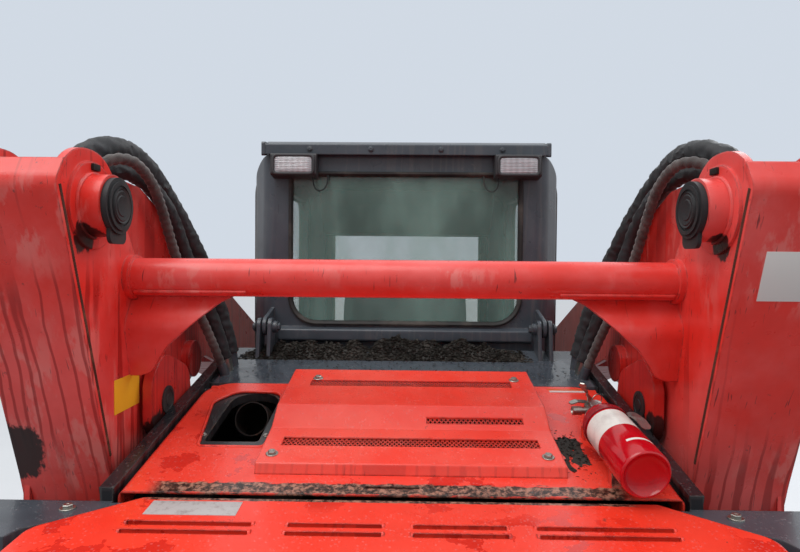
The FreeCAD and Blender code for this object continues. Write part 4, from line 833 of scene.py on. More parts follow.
@dataclass
class Piece:
    """A mesh under construction, then an object that rides on a body.

    Attributes:
        name: The object's name.
        body: What it rides on.
        coat: Its finish.
        slot: Its material slot's name.
        smooth: Whether its faces are shaded smooth up to 35 degrees.
    """

    SQUARE = ((-1, -1), (1, -1), (1, 1), (-1, 1))

    name: str
    body: Body | str
    coat: Coat
    slot: str
    smooth: bool = True
    bm: bmesh.types.BMesh = field(default_factory=bmesh.new)

    def skin(self, rings: Sequence[Sequence[Vector]], loop: bool = False) -> "Piece":
        """Join rings of points by faces.

        Args:
            rings: Rings with the same number of points.
            loop: Whether the last ring meets the first. Otherwise both are filled.

        Returns:
            This piece.
        """
        made = [[self.bm.verts.new(spot) for spot in ring] for ring in rings]
        for a, b in zip(made, made[1:] + (made[:1] if loop else [])):
            for k in range(len(a)):
                j = (k + 1) % len(a)
                self.bm.faces.new((a[k], a[j], b[j], b[k]))
        if not loop:
            self.bm.faces.new(made[0][::-1])
            self.bm.faces.new(made[-1])
        return self

    def block(self, low: Point, high: Point, bevel: float) -> "Piece":
        """Add a box with rounded edges."""
        size = [b - a for a, b in zip(low, high)]
        middle = [(a + b) / 2 for a, b in zip(low, high)]
        matrix = Matrix.Translation(middle) @ Matrix.Diagonal((*size, 1))
        verts = bmesh.ops.create_cube(self.bm, size=1.0, matrix=matrix)["verts"]
        edges = list(dict.fromkeys(edge for vert in verts for edge in vert.link_edges))
        reach = min(bevel, min(size) * 0.45)
        bmesh.ops.bevel(self.bm, geom=edges, offset=reach, segments=2, profile=0.6, affect="EDGES")
        return self

    def lathe(self, profile: Sequence[Flat], base: Vector, way: Vector, sides: int, loop: bool = False) -> "Piece":
        """Add a turned shape.

        Args:
            profile: Pairs (along, radius) from one end to the other, or round the section of a ring.
            base: Where along is zero.
            way: The axis.
            sides: How many faces go round.
            loop: Whether the profile closes on itself.

        Returns:
            This piece.
        """
        turn = way.normalized().to_track_quat("Z", "Y").to_matrix()
        angles = [math.tau * k / sides for k in range(sides)]
        return self.skin([[
            base + turn @ Vector((math.cos(angle) * radius, math.sin(angle) * radius, reach)) for angle in angles]
            for reach, radius in profile], loop)

    def tube(self, points: Sequence[Vector], radius: float | Callable[[float, float], float], sides: int,
             closed: bool = False) -> "Piece":
        """Add a tube along a line.

        Args:
            points: The line.
            radius: The radius, or its value at a length along the line and an angle.
            sides: How many faces go round.
            closed: Whether the line meets itself.

        Returns:
            This piece.
        """
        ways = ways_along(points)
        side = ways[0].orthogonal().normalized()
        rings, length, last = [], 0.0, points[0]
        for spot, way in zip(points, ways):
            length += (spot - last).length
            last = spot
            side = (side - way * side.dot(way)).normalized()
            other = way.cross(side)
            ring = []
            for angle in (math.tau * k / sides for k in range(sides)):
                reach = radius(length, angle) if callable(radius) else radius
                ring.append(spot + side * (math.cos(angle) * reach) + other * (math.sin(angle) * reach))
            rings.append(ring)
        return self.skin(rings, closed)

    def hoop(self, loop: Sequence[Vector], step: float, radius: float | Callable, sides: int) -> "Piece":
        """Add a tube round a closed line, with points a step apart."""
        return self.tube(resample([*loop, loop[0]], step)[:-1], radius, sides, closed=True)

    def strap(self, line: Sequence[Vector], up: Vector, half: float) -> "Piece":
        """Add a bent flat lever along a line, of some half width."""
        points = resample(line, 0.004)
        rings = []
        for i, (spot, way) in enumerate(zip(points, ways_along(points))):
            across = way.cross(up)
            if across.length < 0.3:
                across = way.cross(up.orthogonal())
            across.normalize()
            over = across.cross(way).normalized() * 0.0014
            wide = across * (half * min(1.0, 0.55 + 0.45 * min(i, len(points) - 1 - i) / 2))
            rings.append([spot + wide * a + over * b for a, b in self.SQUARE])
        return self.skin(rings)

    def sheet(self, columns: int, rows: int, place: Callable[[int, int], Point]) -> "Piece":
        """Add an open sheet, from its points by column and row."""
        grid = [[self.bm.verts.new(place(i, j)) for j in range(rows + 1)] for i in range(columns + 1)]
        for i in range(columns):
            for j in range(rows):
                self.bm.faces.new((grid[i][j], grid[i + 1][j], grid[i + 1][j + 1], grid[i][j + 1]))
        return self

    def skirt(self) -> list[bmesh.types.BMVert | bmesh.types.BMEdge]:
        """Extrude the sheet's open rim and return what came of it."""
        rim = [edge for edge in self.bm.edges if edge.is_boundary]
        return bmesh.ops.extrude_edge_only(self.bm, edges=rim)["geom"]

    def move(self, matrix: Matrix) -> "Piece":
        """Move all of the mesh."""
        bmesh.ops.transform(self.bm, matrix=matrix, verts=self.bm.verts)
        return self

    def object(self) -> bpy.types.Object:
        """Turn the mesh into an object."""
        bmesh.ops.recalc_face_normals(self.bm, faces=self.bm.faces)
        mesh = bpy.data.meshes.new(self.name)
        self.bm.to_mesh(mesh)
        self.bm.free()
        mesh.materials.append(self.coat.material())
        if self.smooth:
            mesh.shade_smooth()
            mesh.set_sharp_from_angle(angle=math.radians(35))
        return linked(self.name, mesh)

    def keep(self) -> bpy.types.Object:
        """Turn the mesh into an object that rides on its body."""
        return keep(self.object(), self.body, self.slot)


# Geometry Nodes for what repeats


class Repeater:
    """Places copies of a small piece on points or scatters them over a face."""

    def __init__(self, name: str, **numbers: str) -> None:
        self.tree = bpy.data.node_groups.new(name, "GeometryNodeTree")
        kinds = dict(Geometry="NodeSocketGeometry", Copy="NodeSocketObject", Finish="NodeSocketMaterial", **numbers)
        new = self.tree.interface.new_socket
        self.sockets = {
            label: new(label, in_out="INPUT", socket_type=kind).identifier for label, kind in kinds.items()}
        new("Geometry", in_out="OUTPUT", socket_type="NodeSocketGeometry")
        self.graph = Graph(self.tree)
        self.given = self.graph.add("NodeGroupInput").outputs

    def _close(self, points: bpy.types.NodeSocket, rotation: bpy.types.NodeSocket, scale: object) -> "Repeater":
        copy = self.graph.value("GeometryNodeObjectInfo", {"Object": self.given["Copy"]}, "Geometry")
        inputs = {"Points": points, "Instance": copy, "Rotation": rotation, "Scale": scale}
        real = self.graph.value("GeometryNodeRealizeInstances", {0: self.graph.value("GeometryNodeInstanceOnPoints", inputs)})
        coated = self.graph.value("GeometryNodeSetMaterial", {"Geometry": real, "Material": self.given["Finish"]})
        self.graph.add("NodeGroupOutput", {0: coated})
        return self

    @classmethod
    def on_points(cls, name: str) -> "Repeater":
        """Copy to every point, with Z along the point's facing attribute."""
        made = cls(name)
        facing = made.graph.value("GeometryNodeInputNamedAttribute", {"Name": "facing"}, data_type="FLOAT_VECTOR")
        turn = made.graph.value("FunctionNodeAlignRotationToVector", {"Vector": facing}, axis="Z")
        points = made.graph.value("GeometryNodeMeshToPoints", {"Mesh": made.given["Geometry"]})
        return made._close(points, turn, (1.0, 1.0, 1.0))

    @classmethod
    def scattered(cls, name: str) -> "Repeater":
        """Scatter over faces, with chosen density, seed and size range."""
        number = "NodeSocketFloat"
        made = cls(name, Density=number, Seed="NodeSocketInt", Smallest=number, Largest=number)
        mesh, density, seed = (made.given[label] for label in ("Geometry", "Density", "Seed"))
        inputs = {"Mesh": mesh, "Density": density, "Seed": seed}
        spread = made.graph.value("GeometryNodeDistributePointsOnFaces", inputs, "Points")
        inputs = {"Min": (-0.5, -0.5, 0.0), "Max": (0.5, 0.5, 6.283), "Seed": seed}
        turn = made.graph.value("FunctionNodeRandomValue", inputs, data_type="FLOAT_VECTOR")
        inputs = {2: made.given["Smallest"], 3: made.given["Largest"], "Seed": seed}
        size = made.graph.value("FunctionNodeRandomValue", inputs, 1, data_type="FLOAT")
        return made._close(spread, turn, size)

    def bake(self, base: bpy.types.Object, copy: bpy.types.Object, coat: Coat, **inputs: float) -> bpy.types.Object:
        """Run the nodes on a base mesh and keep the result as a plain mesh.

        Args:
            base: The mesh that carries the points or faces, removed afterwards.
            copy: The piece that is repeated, removed afterwards.
            coat: The finish of the copies.
            **inputs: Values of the other named inputs.

        Returns:
            The baked object, with the nodes' name.
        """
        name = self.tree.name
        modifier = base.modifiers.new(name, "NODES")
        modifier.node_group = self.tree
        for label, value in {"Copy": copy, "Finish": coat.material(), **inputs}.items():
            modifier[self.sockets[label]] = value
        bpy.context.view_layer.update()
        graph = bpy.context.evaluated_depsgraph_get()
        mesh = bpy.data.meshes.new_from_object(base.evaluated_get(graph))
        mesh.name = name
        made = linked(name, mesh)
        for used in (base, copy):
            bpy.data.objects.remove(used)
        return made


@dataclass
class Fasteners:
    """Bolt heads of one size, repeated over the machine on one body."""

    name: str
    body: Body | str
    radius: float
    spots: Sequence[tuple[Vector, Vector]]
    coat: Coat = Coat.ZINC

    def build(self) -> None:
        """Place every bolt and keep them as one piece."""
        r = self.radius
        head = Piece(self.name + "_head", self.body, self.coat, "steel", smooth=False)
        head.lathe([(0.0, r * 1.5), (r * 0.22, r * 1.5), (r * 0.28, r * 1.42), (r * 0.28, r * 0.9)], Vector(), UP, 20)
        hexagon = [(r * 0.26, r), (r * 0.80, r), (r * 0.95, r * 0.86), (r * 0.95, r * 0.3), (r * 0.90, r * 0.24)]
        head.lathe(hexagon, Vector(), UP, 6)
        mesh = bpy.data.meshes.new(self.name + "_spots")
        mesh.from_pydata([spot for spot, _ in self.spots], [], [])
        facing = mesh.attributes.new("facing", "FLOAT_VECTOR", "POINT")
        for entry, (_, way) in zip(facing.data, self.spots):
            entry.vector = way
        base = linked(self.name + "_spots", mesh)
        keep(Repeater.on_points(self.name).bake(base, head.object(), self.coat), self.body, head.slot)


# The machine


class Assembly:
    """A part of the machine that adds pieces to the solids."""

    def build(self) -> None:
        """Make the pieces."""
        raise NotImplementedError


@dataclass
class Hose(Assembly):
    """One hose or cable on a smooth line."""

    name: str
    side: Side
    route: Sequence[Point]
    radius: float
    coat: Coat
    body: Body = Body.ARMS
    ridges: float = 0.0
    folds: float = 0.0
    stands_for: str = ""

    def line(self) -> list[Vector]:
        """Return the points of the hose's smooth line."""
        curve = bpy.data.curves.new(self.name + "_line", "CURVE")
        curve.dimensions = "3D"
        curve.resolution_u = 16
        spline = curve.splines.new("NURBS")
        spline.points.add(len(self.route) - 1)
        for point, spot in zip(spline.points, self.route):
            point.co = (*self.side.place(*spot), 1.0)
        spline.order_u = 3
        spline.use_endpoint_u = True
        holder = linked(self.name + "_line", curve)
        graph = bpy.context.evaluated_depsgraph_get()
        mesh = bpy.data.meshes.new_from_object(holder.evaluated_get(graph))
        bpy.data.objects.remove(holder)
        return [vert.co.copy() for vert in mesh.vertices]

    def swell(self, length: float, angle: float) -> float:
        """Return the hose's radius at a length along it and an angle round it."""
        ridge = abs(math.sin(length * 150.0 + angle * 0.5))
        spot = Vector((math.cos(angle) * 1.1, math.sin(angle) * 1.1, length * 34.0))
        fold = 0.5 - 2.0 * abs(noise.noise(spot)) + 0.5 * noise.noise(spot * 2.7)
        return self.radius * (0.98 - self.ridges * (1.0 - ridge) + self.folds * fold)

    def build(self) -> None:
        points = self.line()
        length = sum((b - a).length for a, b in zip(points, points[1:]))
        sides = 24 if self.radius > 0.01 else 10
        made = Piece(self.name, self.body, self.coat, "hose")
        tube = made.tube(resample(points, min(0.005, self.radius)), self.swell, sides).keep()
        if self.stands_for:
            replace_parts(tube, self.stands_for)
        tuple(points[0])
        2 * self.radius


@dataclass
class Hoses(Assembly):
    """The sleeved pair, the thin wrapped hose and the lamp's cable on each side."""

    upper: Sequence[Point] = (
        (0.742, -1.366, 1.640), (0.740, -1.378, 1.740), (0.722, -1.334, 1.836), (0.685, -1.240, 1.872),
        (0.672, -1.125, 1.850), (0.658, -1.018, 1.775), (0.630, -0.928, 1.670), (0.598, -0.852, 1.545),
        (0.566, -0.802, 1.405), (0.549, -0.786, 1.310))
    inner: Sequence[Point] = (
        (0.730, -1.318, 1.634), (0.730, -1.322, 1.716), (0.714, -1.300, 1.796), (0.684, -1.225, 1.822),
        (0.660, -1.125, 1.800), (0.638, -1.030, 1.726), (0.630, -0.958, 1.616), (0.600, -0.895, 1.500),
        (0.572, -0.850, 1.390), (0.551, -0.829, 1.300))
    lower: Sequence[Point] = (
        (0.694, -1.350, 1.640), (0.694, -1.360, 1.735), (0.692, -1.335, 1.812), (0.640, -1.275, 1.842),
        (0.624, -1.190, 1.800), (0.626, -1.112, 1.722), (0.624, -1.045, 1.618), (0.606, -0.975, 1.500),
        (0.576, -0.905, 1.385), (0.552, -0.868, 1.290))
    cable: Sequence[Point] = (
        (0.318, -0.602, 1.889), (0.318, -0.602, 1.866), (0.309, -0.600, 1.846), (0.292, -0.594, 1.842),
        (0.276, -0.586, 1.856), (0.270, -0.579, 1.882), (0.270, -0.571, 1.912))

    def build(self) -> None:
        for side in Side:
            word = side.word
            node = "hoses_" + word
            Hose("hose_bundle_" + word, side, self.upper, 0.027, Coat.SLEEVE, folds=0.15, stands_for=node).build()
            Hose("hose_thin_" + word, side, self.lower, 0.014, Coat.BRAID, ridges=0.20, folds=0.06,
                 stands_for=node).build()
            Hose("hose_inner_" + word, side, self.inner, 0.021, Coat.SLEEVE, folds=0.14).build()
            Hose("lamp_cable_" + word, side, self.cable, 0.0026, Coat.RUBBER, Body.CAB).build()
            self.ferrules(side)

    def ferrules(self, side: Side) -> None:
        """Put the inner hose's ferrules where it leaves the arm and where it meets the apron."""
        start, after, before, end = (side.place(*self.inner[i]) for i in (0, 1, -2, -1))
        up, down = (after - start).normalized(), (end - before).normalized()
        top = [(0.0, 0.019), (0.002, 0.0215), (0.026, 0.0215), (0.028, 0.0190)]
        foot = [(0.0, 0.012), (0.001, 0.0165), (0.030, 0.0165), (0.032, 0.014), (0.060, 0.014)]
        for name, body, profile, base, way, sides in (
                ("hose_ferrule_top_", Body.ARMS, top, start - up * 0.012, up, 24),
                ("hose_ferrule_foot_", Body.FRAME, foot, end + down * 0.0005, down, 6)):
            Piece(name + side.word, body, Coat.ZINC, "steel").lathe(profile, base, way, sides).keep()


@dataclass
class Hood(Assembly):
    """Screens, bolts and small plates on the hood and its screen.

    Attributes:
        rear: The rear edge of the hood's top, as (y, z).
        front: Its front edge.
        rise: How far the screen's sheet stands above the hood, as pairs (y, height).
        pitch: The mesh's pitch across and along the hood.
        strand: Half the width and half the height of a strand.
        normal: The way that the hood's top looks.
    """

    rear: Flat = (-1.490, 1.135)
    front: Flat = (-0.920, 1.246)
    rise: Sequence[Flat] = ((-1.410, 0.022), (-1.256, 0.024), (-1.190, 0.052), (-0.950, 0.050))
    pitch: Flat = (0.0105, 0.0150)
    strand: Flat = (0.0014, 0.0007)
    normal: Point = (0, -0.1912, 0.9816)

    def height(self, y: float) -> float:
        """Return the height of the hood's top at a place along it."""
        (y0, z0), (y1, z1) = self.rear, self.front
        return blend(z0, z1, (y - y0) / (y1 - y0))

    def plateau(self, y: float) -> float:
        """Return the height of the screen's sheet at a place along it."""
        (y0, h0), (y1, h1) = next(pair for pair in zip(self.rise, self.rise[1:]) if y <= pair[1][0])
        return self.height(y) + blend(h0, h1, (y - y0) / (y1 - y0))

    def mesh_band(self, name: str, x: Flat, y: Flat) -> bpy.types.Object:
        """Make a strip of expanded metal under the screen's sheet.

        Args:
            name: The piece's name.
            x: Its two ends across the machine.
            y: Its rear and front edges.

        Returns:
            The strip.
        """
        low, high = (Vector((x[0], edge, self.plateau(edge) - 0.0052)) for edge in y)
        across, along = Vector((x[1] - x[0], 0, 0)), high - low
        columns, rows = round(across.length / self.pitch[0]), round(along.length / self.pitch[1])
        up = across.cross(along).normalized() * self.strand[1]
        strip = Piece(name, Body.HOOD, Coat.RED_SCREEN, "black_paint", smooth=False)
        for i in range(-rows, columns + rows + 1):
            for lean in (1, -1):
                start = max(0, -i if lean > 0 else i - columns)
                end = min(rows, columns - i if lean > 0 else i)
                if end <= start:
                    continue
                p, q = (low + across * ((i + lean * v) / columns) + along * (v / rows) for v in (start, end))
                side = (q - p).normalized().cross(up).normalized() * self.strand[0]
                strip.skin([[spot + side * a + up * b for a, b in Piece.SQUARE] for spot in (p, q)])
        return strip.keep()

    def build(self) -> None:
        rear = self.mesh_band("screen_band_rear", (-0.276, 0.320), (-1.342, -1.292))
        self.mesh_band("screen_band_front", (-0.256, 0.300), (-1.076, -1.024))
        self.mesh_band("screen_band_slope", (0.054, 0.298), (-1.243, -1.219))
        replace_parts(rear, "screen_mesh")
        corners = ((-0.233, -1.021), (0.305, -1.021), (-0.280, -1.374), (0.320, -1.374))
        spots = [(Vector((x, y, self.plateau(y) - 0.0003)), Vector(self.normal)) for x, y in corners]
        Fasteners("screen_bolts", Body.HOOD, 0.009, spots).build()
        self.core()
        self.label()

    def core(self) -> None:
        """Put dark slats on the hood under the screen's mesh: painted shade that shows through its holes."""
        core = Piece("screen_core", Body.HOOD, Coat.SOOT, "black_paint")
        for i in range(9):
            y = -1.36 + i * 0.045
            z = self.height(y) + 0.003
            core.block((-0.29, y, z), (0.335, y + 0.038, z + 0.005), 0.002)
        core.keep()

    def label(self) -> None:
        """Put a small bare strip by the front edge."""
        y = -0.975
        z = self.height(y)
        strip = Piece("hood_strip", Body.HOOD, Coat.WHITE, "white_paint")
        strip.block((0.415, y, z - 0.001), (0.515, y + 0.016, z + 0.0028), 0.001).keep()
        edge = Piece("hood_strip_edge", Body.HOOD, Coat.ORANGE, "red_paint")
        edge.block((0.412, y + 0.0162, z), (0.517, y + 0.026, z + 0.0052), 0.001).keep()


@dataclass
class Exhaust(Assembly):
    """The rolled lip of the hood's exhaust opening and the bolts of the plate beneath it."""

    hood: Hood
    lip: float = 0.0042
    sheet: float = 0.005
    outline: Sequence[Point] = (
        (-0.470, -1.300, 0.014), (-0.316, -1.300, 0.014), (-0.316, -1.052, 0.006), (-0.331, -1.052, 0.006),
        (-0.337, -0.994, 0.040), (-0.467, -0.990, 0.050), (-0.512, -1.062, 0.045))
    bolts: Sequence[Flat] = ((-0.4765, -1.236), (-0.3265, -1.236), (-0.3265, -1.075))

    def build(self) -> None:
        loop = [Vector((x, y, self.hood.height(y) - 0.0012)) for x, y in rounded_loop(self.outline, 8)]
        Piece("exhaust_lip", Body.HOOD, Coat.RED_HOOD, "red_paint").hoop(loop, 0.006, self.lip, 12).keep()
        spots = [
            (Vector((x, y, self.hood.height(y) - self.sheet)), Vector(self.hood.normal)) for x, y in self.bolts]
        Fasteners("collar_bolts", Body.HOOD, 0.0046, spots).build()


@dataclass
class Bottle(Assembly):
    """The hand extinguisher on the hood: bottle, valve, levers, gauge, nozzle and its strap.

    Attributes:
        base: The middle of the foot.
        neck: A place on the axis beyond the neck.
        radius: The bottle's radius.
        body: Its length to the shoulder's end.
        long_lever: The upper lever's line from the valve's top, as (along, up, across).
        short_lever: The lower lever's line.
        tongue: The line of the clamp's loose end.
    """

    base: Point = (0.468, -1.535, 1.200)
    neck: Point = (0.452, -1.190, 1.262)
    radius: float = 0.050
    body: float = 0.262
    long_lever: Sequence[Point] = (
        (0, 0.010, 0), (0.008, 0.022, -0.004), (0.012, 0.036, -0.012), (0.006, 0.052, -0.022), (-0.004, 0.064, -0.028))
    short_lever: Sequence[Point] = ((0, 0.006, 0), (0, 0.016, -0.010), (-0.004, 0.020, -0.040), (-0.010, 0.016, -0.056))
    tongue: Sequence[Point] = ((0, 0, 0), (0, 0.001, 0.012), (-0.020, -0.004, 0.022), (-0.046, -0.012, 0.026))

    def build(self) -> None:
        self.start = Vector(self.base)
        self.way = (Vector(self.neck) - self.start).normalized()
        self.up = (UP - self.way * UP.dot(self.way)).normalized()
        self.side = self.way.cross(self.up)
        self.shell()
        self.valve(self.start + self.way * (self.body + 0.012))
        self.clamp()

    def spot(self, root: Vector, along: float, up: float, across: float) -> Vector:
        """Return a place from a root, by the bottle's own axes."""
        return root + self.way * along + self.up * up + self.side * across

    def shell(self) -> None:
        """Turn the bottle, with its sunk base and rounded shoulder."""
        r, end, throat = self.radius, self.body, 0.018
        foot = [
            (0.015, 0.002), (0.014, r * 0.45), (0.010, r * 0.72), (0.004, r * 0.84), (0.0005, r * 0.88), (0.0, r * 0.93),
            (0.002, r * 0.975), (0.006, r), (end * 0.45, r)]
        turns = [math.pi / 2 * k / 10 for k in range(11)]
        shoulder = [(end - 0.052 + 0.046 * math.sin(t), throat + (r - throat) * math.cos(t)) for t in turns]
        collar = [(end + 0.008, throat), (end + 0.009, 0.0205), (end + 0.014, 0.0205), (end + 0.015, 0.014)]
        shell = Piece("bottle", Body.HOOD, Coat.BOTTLE, "red_paint")
        made = shell.lathe(foot + shoulder + collar, self.start, self.way, 64).keep()
        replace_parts(made, "fire_extinguisher")

    def valve(self, at: Vector) -> None:
        """Make the valve with its levers, pin, gauge and nozzle."""
        valve = Piece("bottle_valve", Body.HOOD, Coat.ZINC, "steel")
        valve.lathe([
            (0.0, 0.013), (0.002, 0.0165), (0.014, 0.0165), (0.016, 0.0125), (0.030, 0.0125), (0.033, 0.015),
            (0.044, 0.015), (0.047, 0.010)], at, self.way, 28)
        nozzle = [(0.0, 0.008), (0.020, 0.008), (0.021, 0.0105), (0.042, 0.0105), (0.0435, 0.0075), (0.040, 0.0060)]
        valve.lathe(nozzle, self.spot(at, 0.020, 0, -0.008), -self.side, 20)
        top = at + self.way * 0.034
        for line, half in ((self.long_lever, 0.0085), (self.short_lever, 0.0075)):
            valve.strap([self.spot(top, *step) for step in line], self.up, half)
        valve.keep()
        dial = [(0, 0.005), (0.002, 0.0145), (0.011, 0.0145), (0.0125, 0.013), (0.0115, 0.0115), (0.0115, 0.001)]
        gauge = Piece("bottle_gauge", Body.HOOD, Coat.STEEL, "steel")
        gauge.lathe(dial, self.spot(at, 0.008, 0.013, 0), self.up - self.way * 0.4, 24).keep()
        turns = [math.tau * k / 20 for k in range(20)]
        ring = [self.spot(top, 0.004 * math.cos(t), 0.022 + 0.013 * math.sin(t), 0.012 + 0.013 * math.cos(t))
                for t in turns]
        Piece("bottle_pin_ring", Body.HOOD, Coat.ZINC, "steel").tube(ring, 0.0012, 8, closed=True).keep()

    def clamp(self) -> None:
        """Put the clamp round the bottle, with its loose tongue."""
        inner, outer, rear, front = self.radius + 0.0003, self.radius + 0.0022, 0.196, 0.213
        ring = [(rear, inner), (rear, outer), (front, outer), (front, inner)]
        clamp = Piece("bottle_clamp", Body.HOOD, Coat.BOTTLE_DARK, "red_paint")
        clamp.lathe(ring, self.start, self.way, 64, loop=True).keep()
        root = self.start + self.way * 0.190 + (self.up + self.side).normalized() * (self.radius + 0.002)
        tongue = [self.spot(root, *step) for step in self.tongue]
        Piece("bottle_tongue", Body.HOOD, Coat.STEEL, "steel").strap(tongue, self.up, 0.011).keep()


@dataclass
class Cab(Assembly):
    """Seals, lamps, bolts, litter and seat pads of the cab.

    Attributes:
        hood: The hood, for the heap of leaves on it.
        rear_y: The cab's rear wall.
        apron: A place on the apron behind the cab as (y, z), and its slope.
    """

    hood: Hood
    rear_y: float = -0.570
    apron: Point = (-0.800, 1.2712, 0.188)
    header: Sequence[Flat] = ((0.529, 1.735), (0.529, 1.950), (0.260, 1.950), (0.330, 1.880), (0.430, 1.742))

    @staticmethod
    def seal(name: str, body: Body, corners: Sequence[Point], place: Callable[[float, float], Point]) -> None:
        """Run a rubber seal round a window."""
        loop = [Vector(place(u, v)) for u, v in rounded_loop(corners, 10)]
        lips = Piece(name, body, Coat.SEAL, "rubber")
        lips.hoop(loop, 0.012, lambda _, angle: 0.0085 + 0.0018 * math.cos(2 * angle), 12).keep()

    @staticmethod
    def lamp(name: str, at: Point, half: Flat, out: int) -> None:
        """Make a work lamp's crowned, fluted lens in its frame.

        Args:
            name: The lamp's name.
            at: Its middle.
            half: Half its width and height.
            out: Whether it looks forward (1) or back (-1).
        """
        x, y, z = at
        columns, rows = 48, 26

        def spot(i: int, j: int) -> Point:
            u, v = 2 * i / columns - 1, 2 * j / rows - 1
            crown = (1 - u ** 4) * (1 - v ** 4)
            flute = 0.0006 * math.cos(math.pi * j)
            return x + u * half[0], y + out * (0.002 + (0.006 + flute) * crown), z + v * half[1]

        lens = Piece(name + "_lens", Body.CAB, Coat.LAMP, "lamp").sheet(columns, rows, spot)
        for part in lens.skirt():
            if isinstance(part, bmesh.types.BMVert):
                part.co.y -= out * 0.006
        lens.keep()
        rim = rounded_loop(window(half[0], -half[1], half[1], 0.012, 0.012), 6)
        loop = [Vector((x + u, y + out * 0.003, z + v)) for u, v in rim]
        Piece(name + "_bezel", Body.CAB, Coat.PLASTIC, "plastic").hoop(loop, 0.008, 0.0055, 10).keep()

    @staticmethod
    def pad(name: str, node: str, channels: int, axis: int) -> None:
        """Replace a seat solid by a crowned pad, with channels counted along an axis."""
        low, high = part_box(node)
        middle, half = (low + high) / 2, (high - low) / 2
        thin = 3 - axis
        pad = Piece(name, Body.CAB, Coat.VINYL, "seat_vinyl")
        bmesh.ops.create_cube(pad.bm, size=2.0)
        bmesh.ops.subdivide_edges(pad.bm, edges=pad.bm.edges[:], cuts=22, use_grid_fill=True)
        for vert in pad.bm.verts:
            u, spot = vert.co.copy(), vert.co.copy()
            spot.x *= 1 - 0.055 * abs(u[axis]) ** 6 - 0.02 * abs(u[thin]) ** 2
            spot[thin] *= 1 - 0.42 * max(abs(u.x), abs(u[axis])) ** 5
            across = (u[axis] + 1) * 0.5 * channels
            if abs(u.x) < 0.78 and u[thin] > 0.5:
                spot[thin] -= 0.10 * math.exp(-((across - round(across)) * 9) ** 2)
            vert.co = middle + Matrix.Diagonal(half) @ spot
        made = pad.keep()
        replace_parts(made, node)

    @staticmethod
    def litter(name: str, body: Body, low: Point, high: Point, pile: float, density: float, size: Flat,
               fade: float = 0.0) -> None:
        """Scatter wet leaves over a patch of sheet metal, on a heap where there is one.

        Args:
            name: The leaves' name.
            body: What they ride on.
            low: The rear left corner of the patch.
            high: The front right corner, at its own height.
            pile: The height of the heap at its front edge, or 0.
            density: Leaves per square metre.
            size: The shortest and longest leaf.
            fade: How much the heap falls off again towards its front edge.
        """
        columns, rows, under = 90, 14, -0.0045

        def spot(i: int, j: int) -> Point:
            u, v = i / columns, j / rows
            x, y, z = blend(low[0], high[0], u), blend(low[1], high[1], v), blend(low[2], high[2], v)
            ends = min(1.0, 7 * u, 7 * (1 - u)) * min(1.0, 1.6 * v) * min(1.0, 1.0 + fade * (0.15 - 1.15 * v))
            lump = 0.62 + 0.8 * noise.noise(Vector((x * 21, y * 21, 3.0)))
            lump += 0.4 * noise.noise(Vector((x * 80, y * 80, 7.0)))
            return x, y, z + pile * (ends * lump - 0.12) - 0.0012

        heap = Piece(name + "_heap", body, Coat.LITTER, "black_paint").sheet(columns, rows, spot)
        base = Piece(name + "_ground", body, Coat.LITTER, "black_paint", bm=heap.bm.copy()).object()
        if pile > 0:
            skirt = heap.skirt()
            for part in skirt:
                if isinstance(part, bmesh.types.BMVert):
                    part.co.z = blend(low[2], high[2], (part.co.y - low[1]) / (high[1] - low[1])) + under
            rim = [part for part in skirt if isinstance(part, bmesh.types.BMEdge) and part.is_boundary]
            bmesh.ops.contextual_create(heap.bm, geom=rim)
            heap.keep()
        outline = (
            (-0.5, 0, 0), (-0.25, 0.2, 0.06), (0.1, 0.26, 0.03), (0.42, 0.12, 0.09), (0.55, 0, 0.02), (0.3, -0.2, 0.1),
            (-0.1, -0.27, 0.04))
        leaf = Piece("leaf", body, Coat.LITTER, "black_paint", smooth=False)
        leaf.skin([[Vector((x, y, z + lift)) for x, y, z in outline] for lift in (0, 0.05)])
        made = Repeater.scattered(name).bake(
            base, leaf.object(), Coat.LITTER, Density=density, Seed=SEED, Smallest=size[0], Largest=size[1])
        keep(made, body, leaf.slot)

    def windows(self) -> None:
        """Run a seal round every window."""
        rear, side, front = self.rear_y - 0.001, 0.549, 0.5865
        self.seal("rear_window_seal", Body.CAB, window(0.400, 1.385, 1.905, 0.090, 0.020), lambda u, v: (u, rear, v))
        for at in Side:
            self.seal("side_window_seal_" + at.word, Body.CAB, window(0.440, 1.000, 1.900, 0.060, 0.060),
                      lambda u, v: (at.value * side, u, v))
        self.seal("front_window_seal", Body.FRONT_DOOR, window(0.395, 0.697, 1.843, 0.050, 0.050),
                  lambda u, v: (u, front, v))

    def leaves(self) -> None:
        """Heap leaves at the cab's foot and on the hood, and scatter some on the apron."""
        y0, z0, slope = self.apron
        for name, (left, right), (near, far), pile, density, size in (
                ("leaf_litter", (-0.545, 0.42), (-0.730, -0.642), 0.044, 34000.0, (0.006, 0.017)),
                ("leaf_bits", (-0.50, 0.50), (-0.90, -0.700), 0.0, 2200.0, (0.003, 0.010))):
            low = (left, near, z0 + slope * (near - y0))
            self.litter(name, Body.FRAME, low, (right, far, z0 + slope * (far - y0)), pile, density, size)
        near, far = -1.430, -1.200
        self.litter("hood_litter", Body.HOOD, (0.344, near, self.hood.height(near)),
                    (0.425, far, self.hood.height(far)), 0.012, 12000.0, (0.004, 0.012), fade=0.8)

